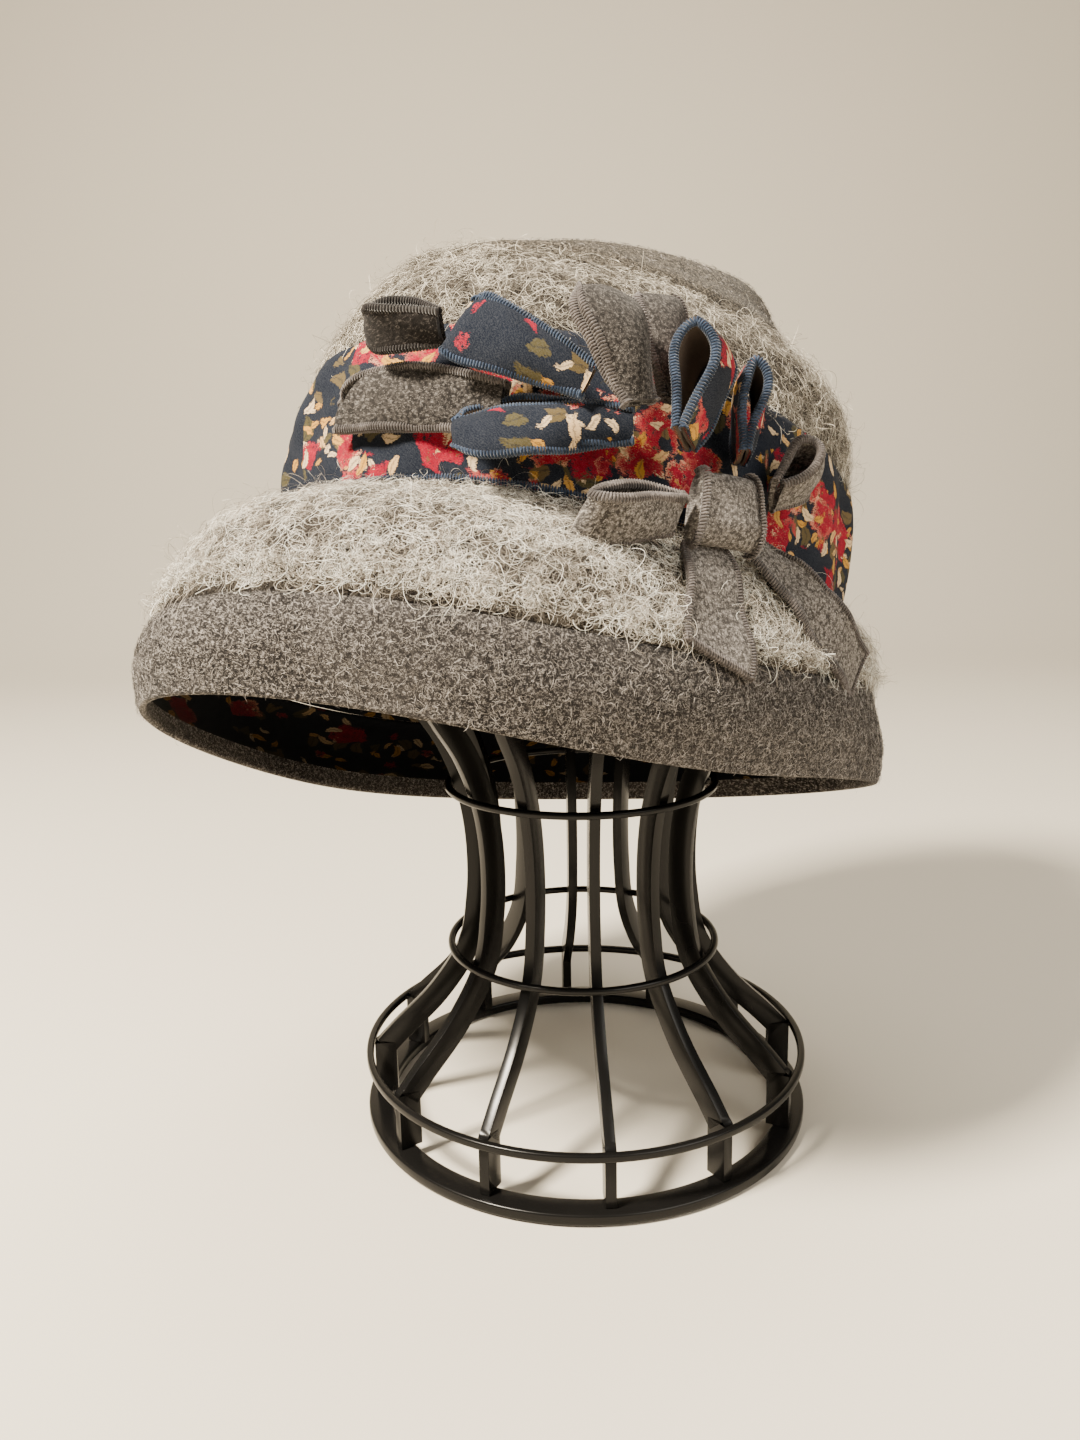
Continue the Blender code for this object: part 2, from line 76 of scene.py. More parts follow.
# The upper brim: shaggy mohair cloth, cut as a shallow cone and sewn to the crown at the head
# opening. It rolls over softly where the felt strip is sewn to it.
HAT_AT = Vector((-0.0074, 0.0130, 0.1885))
LEAN = 26.0               # degrees, back over the stand
HIGH_SIDE = 32.0          # degrees from the front towards the wearer's left
CLOTH_WALL = 2.4 * MM
SECTION_COLUMNS = ("front", "left", "back", "right", "z_front", "z_left", "z_back", "z_right", "skew")
SECTIONS = {
    "rim":       (129.0, 100.0, 134.0, 107.0, -74.0, -69.0, -41.0, -69.0, 2.5),
    "strip_mid": (133.0, 106.0, 130.0, 110.0, -61.0, -55.0, -26.0, -53.0, 2.0),
    "seam":      (131.0, 106.0, 121.5, 107.5, -46.5, -39.5, -8.0, -36.5, 1.5),
    "brim_mid":  (121.0, 99.5, 117.0, 99.5, -19.0, -18.0, 1.0, -17.0, 0.5),
    "headline":  (97.6, 87.6, 104.0, 87.6, -3.5, -1.0, 4.5, -0.5, 1.5),
    "band_mid":  (99.0, 90.5, 103.0, 90.5, 21.0, 21.5, 26.0, 22.0, 2.5),
    "band_top":  (99.0, 91.5, 102.5, 91.5, 45.0, 44.5, 47.5, 45.0, 2.5),
    "shoulder":  (92.0, 85.0, 98.5, 84.0, 72.0, 68.0, 82.0, 75.0, 1.0),
    "tip_seam":  (76.0, 69.0, 78.0, 69.0, 94.0, 86.0, 114.0, 103.0, 0.0),
    "tip_ring":  (44.0, 46.0, 56.0, 42.0, 118.0, 118.0, 138.0, 125.0, 0.0),
    "tip_top":   (0.0, 0.0, 0.0, 0.0, 133.5, 133.5, 133.5, 133.5, 0.0),
}
BRIM_ROWS = ("headline", "brim_mid", "seam", "strip_mid", "rim")
CROWN_ROWS = ("headline", "band_mid", "band_top", "shoulder", "tip_seam", "tip_ring", "tip_top")
SEAM_GAP = 0.012          # in rows
ROUND = 2 * math.pi
ONE_CORNER = 2e-6         # corners nearer than this are one
CLOTH_GIRTH = 0.62        # of the pattern's coordinates, round the hat
ROW_LONG = 24             # mm of cloth to each row
AROUND = 260              # columns of faces round a wall


def section_terms(name):
    """A section as terms of 1, cos, sin, cos 2t and sin 2t, for its reach and for its height."""
    value = dict(zip(SECTION_COLUMNS, SECTIONS[name]))

    def terms(front, left, back, right, twist):
        mean = (front + left + back + right) / 4
        return [mean, (front - back) / 2, (left - right) / 2, (front + back - left - right) / 4, twist]

    reach = terms(value["front"], value["left"], value["back"], value["right"], value["skew"])
    return reach + terms(value["z_front"], value["z_left"], value["z_back"], value["z_right"], 0.0)


def form_of(rows):
    """All sections of a chain with one more at each end, so that the form runs on smoothly."""
    terms = np.array([section_terms(name) for name in rows])
    first = 2 * terms[0] - terms[1]
    last = 2 * terms[-1] - terms[-2]
    if rows[-1] == "tip_top":
        last = terms[-2] * (-1, 1, 1, -1, -1, 1, -1, -1, 1, 1)
    return np.vstack([first, terms, last])


BRIM = form_of(BRIM_ROWS)
CROWN = form_of(CROWN_ROWS)


def between(before, a, b, after, f):
    """A smooth curve from a to b, read at the share f, which comes from before and goes on to after."""
    return ((2 * f**3 - 3 * f**2 + 1) * a + (f**3 - 2 * f**2 + f) * (b - before) / 2
            + (-2 * f**3 + 3 * f**2) * b + (f**3 - f**2) * (after - a) / 2)


def on_form(form, t, s):
    """Points of the hat's outer face at the angles t from the front, s rows along a form."""
    k = np.clip(s.astype(int), 0, len(form) - 4)
    terms = between(*(form[k + i] for i in range(4)), (s - k)[:, None])
    waves = np.stack([np.ones_like(t), np.cos(t), np.sin(t), np.cos(2 * t), np.sin(2 * t)], -1)
    reach = (terms[:, :5] * waves).sum(-1)
    height = (terms[:, 5:] * waves).sum(-1)
    return np.stack([reach * np.sin(t), -reach * np.cos(t), height], -1) * MM


def unit(vectors):
    return vectors / np.maximum(np.linalg.norm(vectors, axis=-1, keepdims=True), 1e-12)


def frames_on(form, t, s):
    """The face's point, the way round, the way up and the way out at each place."""
    small = 0.01
    top = len(form) - 3
    point = on_form(form, t, s)
    turn = on_form(form, t + small, s) - on_form(form, t - small, s)
    climb = on_form(form, t, np.minimum(s + small, top)) - on_form(form, t, np.maximum(s - small, 0))
    out = np.cross(turn, climb)
    if form is BRIM:
        out = -out
    pole = np.linalg.norm(turn, axis=-1) < 1e-7
    out[pole] = (0.0, 0.0, 1.0)
    return point, unit(turn), unit(climb), unit(out)


to_high_side = Matrix.Rotation(math.radians(HIGH_SIDE), 4, "Z")
lean_back = Matrix.Rotation(-math.radians(LEAN), 4, "X")
ON_STAND = Matrix.Translation(HAT_AT) @ to_high_side @ lean_back @ to_high_side.inverted()
HAT_TURN = np.array(ON_STAND.to_3x3())


def to_stand(points):
    return points @ HAT_TURN.T + np.array(ON_STAND.translation)


def soft(x, low, high):
    """0 below low, 1 above high, and smooth between them."""
    x = np.clip((x - low) / (high - low), 0, 1)
    return x * x * (3 - 2 * x)


def ridge(x, at, width):
    return np.exp(-((x - at) / width) ** 2)


def gathers(t, count, wander, turns, size, shift=0.0):
    """Small puckers round a seam, size mm high and unevenly spaced."""
    return np.sin(count * t + wander * np.sin(turns * t) + shift) * size * MM


def ripple(t, s, seed, size, waves=7):
    """Shallow irregular dents, as soft cloth has, in metres off the face."""
    draw = np.random.default_rng(seed)
    total = np.zeros_like(t)
    for _ in range(waves):
        round_waves = draw.integers(2, 9)
        total += np.sin(round_waves * t + draw.uniform(0.6, 2.4) * s + draw.uniform(0, ROUND))
    return total * size / math.sqrt(waves)


def bent_grid(columns, rows, place):
    """A grid of faces, each corner moved to where place puts it, with the cloth's own coordinates."""
    shape = bmesh.new()
    bmesh.ops.create_grid(shape, x_segments=columns, y_segments=rows, size=1.0)
    shape.verts.index_update()
    flat = np.array([corner.co[:2] for corner in shape.verts]) / 2 + 0.5
    points, cloth = place(flat[:, 0], flat[:, 1])
    layer = shape.loops.layers.uv.new("cloth")
    for corner, point in zip(shape.verts, points):
        corner.co = point
    for face in shape.faces:
        face.smooth = True
        for loop in face.loops:
            loop[layer].uv = cloth[loop.vert.index]
    bmesh.ops.remove_doubles(shape, verts=shape.verts, dist=ONE_CORNER)
    return shape


def place_piece(name, mesh, look):
    """Put a mesh in the scene as a piece that keeps its place."""
    mesh.materials.append(look)
    piece = in_scene(name, mesh)
    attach(piece, "root")
    return piece


def mesh_of(name, shape):
    mesh = bpy.data.meshes.new(name)
    shape.to_mesh(mesh)
    shape.free()
    return mesh


def add_piece(name, shape, look, node, matrix=ON_STAND):
    """Make the shape a piece of the hat, or of its stand, that stands for a node."""
    shape.transform(matrix)
    piece = place_piece(name, mesh_of(name, shape), look)
    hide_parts(node)
    return piece


def profile(start, end, steps, lip=0):
    """The rows of a cloth wall: out along the face, round the lip and back along the inside.

    Each row is (rows along the form, lift off the face, how far beyond the edge).
    """
    half = CLOTH_WALL / 2
    outer = [(s, 0.0, 0.0) for s in np.linspace(start, end, steps + 1)]
    turn = [(end, -half + half * math.cos(a), half * math.sin(a))
            for a in np.linspace(0, math.pi, lip + 2)[1:-1]] if lip else []
    inner = [(s, -CLOTH_WALL, 0.0) for s in np.linspace(end, start, steps + 1)]
    return np.array(outer + turn + inner)


def close_shell(shape):
    """Drop the stray edges that merging leaves, and turn every face outwards."""
    bmesh.ops.delete(shape, geom=[edge for edge in shape.edges if edge.is_wire], context="EDGES")
    bmesh.ops.recalc_face_normals(shape, faces=shape.faces)
    return shape


def rows_at(v, rows):
    return rows[np.rint(v * len(rows)).astype(int) % len(rows)]


def wall(form, rows, relief, columns=AROUND):
    """A cloth wall round the whole hat from a profile, with relief added to both its faces."""
    along = np.concatenate([[0], np.cumsum(np.abs(np.diff(rows[:, 0])))])
    rows = np.column_stack([rows, along])

    def place(u, v):
        t = u * ROUND
        s, lift, beyond, along = rows_at(v, rows).T
        point, _, climb, out = frames_on(form, t, s)
        point = point + out * (lift + relief(t, s))[:, None] + climb * beyond[:, None]
        return point, np.stack([u * CLOTH_GIRTH, along * ROW_LONG * MM], -1)

    return close_shell(bent_grid(columns, len(rows), place))


def add_node(tree, kind, sockets=None, **settings):
    """Add one node, and set or link its sockets."""
    node = tree.nodes.new("ShaderNode" + kind)
    for key, value in settings.items():
        setattr(node, key, value)
    for key, value in (sockets or {}).items():
        if isinstance(value, bpy.types.NodeSocket):
            tree.links.new(value, node.inputs[key])
        else:
            node.inputs[key].default_value = value
    return node


def step(tree, kind, sockets=None, out=0, **settings):
    return add_node(tree, kind, sockets, **settings).outputs[out]


def noise(place, scale, detail=2.0, out=0, **more):
    sockets = {"Vector": place, "Scale": scale, "Detail": detail, **more}
    return step(place.id_data, "TexNoise", sockets, out=out)


def vectors(kind, a, b=(0.0, 0.0, 0.0), scale=1.0, out=0):
    return step(a.id_data, "VectorMath", {0: a, 1: b, 3: scale}, out=out, operation=kind)


def mix(tree, factor, a, b, kind="MIX"):
    a = (*a, 1.0) if isinstance(a, tuple) and len(a) == 3 else a
    b = (*b, 1.0) if isinstance(b, tuple) and len(b) == 3 else b
    return step(tree, "Mix", {0: factor, 6: a, 7: b}, out=2, data_type="RGBA", blend_type=kind)


def fade(value, low, high):
    """0 to 1 as the value goes from low to high."""
    return step(value.id_data, "MapRange", {"Value": value, "From Min": low, "From Max": high},
                interpolation_type="SMOOTHSTEP")


def maths(kind, a, b=0.0):
    return step(a.id_data, "Math", {0: a, 1: b}, operation=kind)


def times(a, b):
    return maths("MULTIPLY", a, b)


def plus(a, b):
    return maths("ADD", a, b)


def new_look(name, roughness, sheen=0.0):
    made = bpy.data.materials.new(name)
    made.use_nodes = True
    shader = made.node_tree.nodes["Principled BSDF"]
    shader.inputs["Roughness"].default_value = roughness
    shader.inputs["Specular IOR Level"].default_value = 0.04
    shader.inputs["Sheen Weight"].default_value = sheen
    shader.inputs["Sheen Roughness"].default_value = 0.5
    return made, made.node_tree, shader


def finish_look(tree, shader, colour, height, strength, distance):
    tree.links.new(colour, shader.inputs["Base Color"])
    bump = step(tree, "Bump", {"Height": height, "Strength": strength, "Distance": distance})
    tree.links.new(bump, shader.inputs["Normal"])


def mohair_ground():
    """The cloth under the mohair's curls: dark where it is bare, matted lighter wool elsewhere."""
    look, tree, shader = new_look("mohair_ground", 0.95, 0.05)
    place = step(tree, "TexCoord", out=3)
    curls = noise(place, 420.0, 3.0, Distortion=2.6)
    patches = noise(place, 60.0)
    light = mix(tree, fade(patches, 0.35, 0.65), (0.05, 0.043, 0.036), (0.12, 0.104, 0.085))
    colour = mix(tree, fade(curls, 0.38, 0.6), (0.016, 0.013, 0.011), light)
    finish_look(tree, shader, colour, curls, 0.9, 1.2 * MM)
    return look


MOHAIR_GROUND = mohair_ground()
TUCK = 1.3 * MM           # how far the cloth is drawn in at a seam
PUCKERS = 46              # round the brim's seam


def brim_relief(t, s):
    to_seam = soft(s, 1.72, 2.0)
    pucker = gathers(t, PUCKERS, 2.0, 3, 0.25) * to_seam
    roll = 0.9 * MM * ridge(s, 1.72, 0.16)
    at_crown = 1 - soft(s, 0.0, 0.1)
    dented = ripple(t, s, 5, 0.55 * MM) * soft(s, 0, 0.3)
    return dented - TUCK * to_seam + roll + pucker - 0.6 * MM * at_crown


SEAM = BRIM_ROWS.index("seam")
rows = profile(SEAM_GAP, SEAM - SEAM_GAP, 22)
piece = add_piece("upper_brim", wall(BRIM, rows, brim_relief), MOHAIR_GROUND, "brim_upper")

# The brim's edge: a deep strip of melange felt sewn to the mohair and turned under at the rim,
# where it is soft and round. Light and dark wool fibres show all over it.


def felt(name, dark, mid, light, light_share=0.585):
    """Melange wool felt: short fibres of three shades lying in all directions."""
    look, tree, shader = new_look(name, 0.95, 0.06)
    place = step(tree, "TexCoord", out=3)
    fibres = None
    for turn in ((0.3, 0.9, 0.2), (1.4, 0.2, 1.1), (0.8, 2.1, 2.3)):
        lie = step(tree, "Mapping", {"Vector": place, "Rotation": turn, "Scale": (330.0, 2100.0, 2100.0)})
        one = noise(lie, 1.0, 1.0, Distortion=0.8)
        fibres = one if fibres is None else maths("MAXIMUM", fibres, one)
    cloud = noise(place, 900.0)
    drift = noise(place, 24.0)
    ground = mix(tree, fade(cloud, 0.38, 0.60), dark, mid)
    share = plus(fibres, times(maths("SUBTRACT", cloud, 0.5), 0.3))
    colour = mix(tree, fade(share, light_share, light_share + 0.14), ground, light)
    colour = mix(tree, fade(drift, 0.3, 0.7), colour, mix(tree, 0.10, colour, light))
    finish_look(tree, shader, colour, share, 0.55, 0.5 * MM)
    return look


EDGE_FELT = felt("edge_felt", (0.009, 0.0078, 0.0074), (0.026, 0.0235, 0.0222), (0.215, 0.195, 0.18))


def edge_relief(t, s):
    at_seam = 1 - soft(s, 2.0, 2.22)
    pucker = gathers(t, PUCKERS, 2.0, 3, 0.15, 0.8) * at_seam
    swell = 0.5 * MM * np.sin(math.pi * np.clip((s - 2) / 2, 0, 1))
    return ripple(t, s, 9, 0.45 * MM) * soft(s, 2.0, 2.4) - TUCK * at_seam + pucker + swell


RIM = BRIM_ROWS.index("rim")
rows = profile(SEAM + SEAM_GAP, RIM, 24, lip=5)
strip = add_piece("edge_of_brim", wall(BRIM, rows, edge_relief), EDGE_FELT, "brim_edge")

# The crown's side: the same mohair cloth, gathered a little under the tip and soft enough to dent
# between the band and the tip.
SIDE_DENTS = (
    (143.0, 3.75, 3.6, 26.0, 0.40),
    (150.0, 3.1, 2.6, 16.0, 0.30),
    (118.0, 3.5, 1.6, 14.0, 0.25),
    (60.0, 3.3, 1.2, 20.0, 0.30),
    (-20.0, 3.2, 1.4, 22.0, 0.35),
    (215.0, 2.8, 1.8, 18.0, 0.40),
    (285.0, 3.4, 1.5, 20.0, 0.30),
)


def dents(t, s, table):
    """Hollows in soft cloth; each row: angle, rows up, depth in mm, half width and half height."""
    total = np.zeros_like(t)
    for turn, level, deep, half_turn, half_level in table:
        off = np.arctan2(np.sin(t - math.radians(turn)), np.cos(t - math.radians(turn)))
        far = (off / math.radians(half_turn)) ** 2 + ((s - level) / half_level) ** 2
        total -= deep * MM * np.exp(-far)
    return total


def side_relief(t, s):
    at_tip = soft(s, 3.72, 4.0)
    free = soft(s, 1.9, 2.5)
    puckers = gathers(t, 38, 1.7, 2, 0.35) * soft(s, 3.3, 4.0) + 1.2 * MM * ridge(s, 3.75, 0.16)
    return (ripple(t, s, 21, 0.6 * MM) + dents(t, s, SIDE_DENTS)) * free - TUCK * at_tip + puckers


TIP = CROWN_ROWS.index("tip_seam")
rows = profile(SEAM_GAP, TIP - SEAM_GAP, 34)
piece = add_piece("side_of_crown", wall(CROWN, rows, side_relief), MOHAIR_GROUND, "crown_side")

# The tip: an oval of smooth melange felt with a soft puff over the seam and a sunken crease or two.
TIP_DENTS = (
    (142.0, 4.35, 4.2, 30.0, 0.50),
    (-40.0, 4.25, 2.0, 30.0, 0.40),
    (20.0, 4.8, 1.2, 40.0, 0.40),
    (250.0, 4.7, 1.4, 30.0, 0.40),
)
TIP_FELT = felt("tip_felt", (0.009, 0.0078, 0.0065), (0.036, 0.031, 0.025), (0.21, 0.18, 0.14), 0.59)


def tip_relief(t, s):
    at_seam = 1 - soft(s, 4.0, 4.2)
    puff = 2.0 * MM * ridge(s, 4.22, 0.2) - 1.5 * MM * soft(s, 4.5, 5.4)
    fade_out = 1 - soft(s, 5.2, 5.9)
    puckers = gathers(t, 30, 1.7, 2, 0.25) * (1 - soft(s, 4.0, 4.5))
    dented = (ripple(t, s, 33, 0.5 * MM) + dents(t, s, TIP_DENTS)) * fade_out
    return dented - TUCK * at_seam + puff + puckers


TOP = CROWN_ROWS.index("tip_top")
TIP_AROUND = 200
rows = profile(TIP + SEAM_GAP, TOP, 26)
piece = add_piece("tip_of_crown", wall(CROWN, rows, tip_relief, TIP_AROUND), TIP_FELT,
                  "crown_tip")

# The lining: dark floral cotton, glued and sewn inside the brim and the crown. Its print is darkened much
# further as painted shade, for the shadow under the brim.
LINING_WALL = 1.0 * MM
LINING_GAP = 0.4 * MM
LINING_GIRTH = 0.55
LINING_ROW = 3.4 * MM
LINING_AROUND = 160
NAVY = (0.006, 0.0085, 0.015)
CRIMSON = (0.20, 0.001, 0.014)
ROSE = (0.42, 0.014, 0.036)
GOLD = (0.46, 0.23, 0.035)
CREAM = (0.58, 0.43, 0.26)
OLIVE = (0.06, 0.05, 0.022)
BACKING = (0.085, 0.064, 0.05)
BACK_AWAY = 1.0


def flower_print(name, blooms=0.45, sprigs=0.55, bright=1.0, shift=(0.0, 0.0, 0.0), roses=(-9.0, 9.0)):
    """Dark navy twill printed with scattered roses, buds and leaves of no one's design.

    blooms and sprigs are the shares of the places that hold a rose or a leaf. Roses are few
    outside the stretch of cloth from roses[0] to roses[1], in metres. The cloth's wrong side
    has its own coordinates, BACK_AWAY from those of its printed side.
    """
    look, tree, shader = new_look(name, 0.85, 0.03)
    cloth = step(tree, "UVMap", uv_map="cloth")
    place = step(tree, "Mapping", {"Vector": cloth, "Location": shift, "Scale": (1000.0,) * 3})
    threads = step(tree, "Mapping", {"Vector": place, "Rotation": (0.0, 0.0, 0.8),
                                     "Scale": (1.1, 3.4, 1.0)})
    wander = noise(place, 0.35, out=1)
    fray = noise(threads, 1.0, 1.0, out=1)
    for source, size in ((wander, 2.2), (fray, 1.5)):
        nudge = vectors("SCALE", vectors("SUBTRACT", source, (0.5, 0.5, 0.5)), scale=size)
        place = vectors("ADD", place, nudge)

    along, across = add_node(tree, "SeparateXYZ", {0: cloth}).outputs[:2]
    start, end = roses
    rosy = times(fade(along, start - 0.004, start + 0.004),
                 fade(along, end + 0.004, end - 0.004))
    rosy = plus(times(rosy, 0.85), 0.15)
    posies = fade(noise(place, 0.045, 1.0), 0.43, 0.53)
    rosy = times(rosy, posies)
    leafy = plus(times(posies, 0.75), 0.25)

    def motif(cell, seed):
        """Where each motif's middle is: coordinates from it, turned at random, and its dice."""
        scaled = step(tree, "Mapping", {"Vector": place, "Location": (seed, seed * 2.3, 0.0),
                                        "Scale": (1 / cell, 1 / cell, 1.0)})
        cells = add_node(tree, "TexVoronoi", {"Vector": scaled, "Scale": 1.0, "Randomness": 0.75},
                         voronoi_dimensions="2D")
        off = vectors("SCALE", vectors("SUBTRACT", scaled, cells.outputs["Position"]), scale=cell)
        turn, dice, shade = add_node(tree, "SeparateColor", {0: cells.outputs["Color"]}).outputs
        angle = times(turn, ROUND)
        turned = step(tree, "VectorRotate", {"Vector": off, "Angle": angle}, rotation_type="Z_AXIS")
        return turned, add_node(tree, "SeparateXYZ", {0: turned}).outputs[:2], dice, shade

    def inked(inside, dice, share):
        return times(inside, maths("LESS_THAN", dice, share))

    def leaf(cell, seed, half_length, half_width, share, colours, under):
        _, (x, y), dice, shade = motif(cell, seed)
        bent = plus(y, times(times(x, x), 0.09))
        long = maths("DIVIDE", x, half_length)
        wide = maths("DIVIDE", bent, half_width)
        out = plus(times(long, long), maths("ABSOLUTE", wide))
        inside = inked(fade(out, 1.06, 0.92), dice, times(leafy, share))
        vein = fade(maths("ABSOLUTE", bent), 0.05, 0.42)
        colour = mix(tree, fade(shade, 0.3, 0.7), *colours)
        colour = mix(tree, vein, mix(tree, 0.55, colour, NAVY), colour)
        return mix(tree, inside, under, colour)

    def rose(cell, seed, radius, share, under):
        at, (x, y), dice, shade = motif(cell, seed)
        distance = vectors("LENGTH", at, out=1)
        angle = maths("ARCTAN2", y, x)
        lobes = maths("SINE", times(angle, 5.0))
        edge = plus(maths("DIVIDE", distance, radius), times(lobes, 0.1))
        inside = inked(fade(edge, 1.04, 0.94), dice, times(rosy, share))
        swirl = plus(times(edge, 17.0), times(angle, 1.0))
        petal = fade(maths("SINE", swirl), -0.5, 0.9)
        streak = noise(at, 1.1)
        red = mix(tree, petal, CRIMSON, mix(tree, fade(streak, 0.4, 0.65), CRIMSON, ROSE))
        red = mix(tree, fade(edge, 0.45, 0.1), red, (0.12, 0.003, 0.012))
        pale = mix(tree, petal, (0.40, 0.06, 0.05), (0.56, 0.28, 0.17))
        rim_share = times(fade(edge, 0.72, 0.95), fade(shade, 0.35, 0.75))
        return mix(tree, inside, under, mix(tree, rim_share, red, pale))

    faded = fade(noise(place, 0.05), 0.35, 0.65)
    colour = mix(tree, faded, NAVY, (0.010, 0.013, 0.021))
    colour = leaf(8.0, 3.0, 5.6, 2.4, sprigs, (OLIVE, (0.10, 0.07, 0.03)), colour)
    colour = leaf(6.5, 7.0, 2.9, 1.1, sprigs, (GOLD, CREAM), colour)
    colour = rose(17.0, 1.0, 8.5, blooms, colour)
    colour = leaf(8.5, 11.0, 4.1, 1.5, sprigs * 0.9, (CREAM, GOLD), colour)
    colour = rose(10.0, 5.0, 2.6, sprigs * 0.6, colour)
    wool = fade(noise(place, 2.4), 0.35, 0.65)
    back = mix(tree, wool, mix(tree, 0.5, BACKING, (0.05, 0.04, 0.035)), BACKING)
    twill = step(tree, "TexWave", {"Vector": place, "Scale": 0.62, "Distortion": 0.5, "Detail": 1.0},
                 bands_direction="DIAGONAL")
    worn = plus(times(twill, 0.6), times(noise(place, 2.6), 0.6))
    colour = mix(tree, times(fade(worn, 0.45, 1.0), 0.05), colour, (0.36, 0.38, 0.42))
    colour = mix(tree, maths("GREATER_THAN", across, BACK_AWAY / 2), colour, back)
    # bright darkens the whole print evenly; the lining's low value is painted shade.
    if bright != 1.0:
        colour = mix(tree, 1.0, colour, (bright, bright, bright), kind="MULTIPLY")
    finish_look(tree, shader, colour, worn, 0.4, 0.25 * MM)
    return look


# The lining's print is cut to 0.16 of its brightness: dark cloth, and beyond that painted shade under the
# brim.
LINING_PRINT_IN_PAINTED_SHADE = flower_print("lining_print_in_painted_shade", blooms=0.1, sprigs=0.3, bright=0.16)


def lining_relief(form, t, s):
    """The lining follows the cloth that it is glued to."""
    if form is BRIM:
        return brim_relief(t, s)
    return np.where(s < TIP, side_relief(t, s), tip_relief(t, s))


def lining_wall():
    """The lining's wall: under the brim, then up the inside of the crown to the top."""
    under = [(BRIM, s) for s in np.linspace(SEAM - SEAM_GAP, SEAM_GAP, 14)]
    inside = [(CROWN, s) for s in np.linspace(SEAM_GAP, TOP, 44)]
    face = CLOTH_WALL + LINING_GAP
    rows = [(form, s, -face) for form, s in under + inside]
    rows += [(form, s, -face - LINING_WALL) for form, s in (under + inside)[::-1]]

    def place(u, v):
        row = rows_at(v, np.arange(len(rows)))
        points = np.zeros((len(u), 3))
        for form in (BRIM, CROWN):
            chosen = np.array([rows[r][0] is form for r in row])
            s, lift = np.array([rows[r][1:] for r in row[chosen]]).T
            t = u[chosen] * ROUND
            point, _, _, out = frames_on(form, t, s)
            points[chosen] = point + out * (lift + lining_relief(form, t, s))[:, None]
        return points, np.stack([u * LINING_GIRTH, row * LINING_ROW], -1)

    return close_shell(bent_grid(LINING_AROUND, len(rows), place))


piece = add_piece("floral_lining", lining_wall(), LINING_PRINT_IN_PAINTED_SHADE, "lining")

# The felt strip is faced inside with the same cotton down to its turned-under rim, and so carries the same
# painted shade.
FACING_LEVEL = 3.62
facing_from = (2 * RIM - SEAM - SEAM_GAP - FACING_LEVEL) * ROW_LONG * MM
strip.data.materials.append(LINING_PRINT_IN_PAINTED_SHADE)
cloth = strip.data.uv_layers["cloth"].data
for face in strip.data.polygons:
    if min(cloth[k].uv.y for k in face.loop_indices) > facing_from:
        face.material_index = 1

# The mohair's curls: long fine loops of light wool that stand off the cloth all over in loose locks; those
# on the crown's side are coloured darker as painted shade.
# Short ones lie down over the brim's seam, and the bow and its tails press down those under them.
# Each row of PRESSED: angle, rows down the brim and radius in mm.
PRESSED = ((80.0, 0.8, 9.5), (80.3, 1.15, 10.5), (80.8, 1.5, 11.0), (81.2, 1.8, 11.5), (99.0, 0.8, 9.0),
           (104.0, 1.2, 9.5), (111.5, 1.6, 9.5), (116.5, 1.9, 9.0), (67.0, 0.6, 11.0), (60.0, 0.7, 8.0))


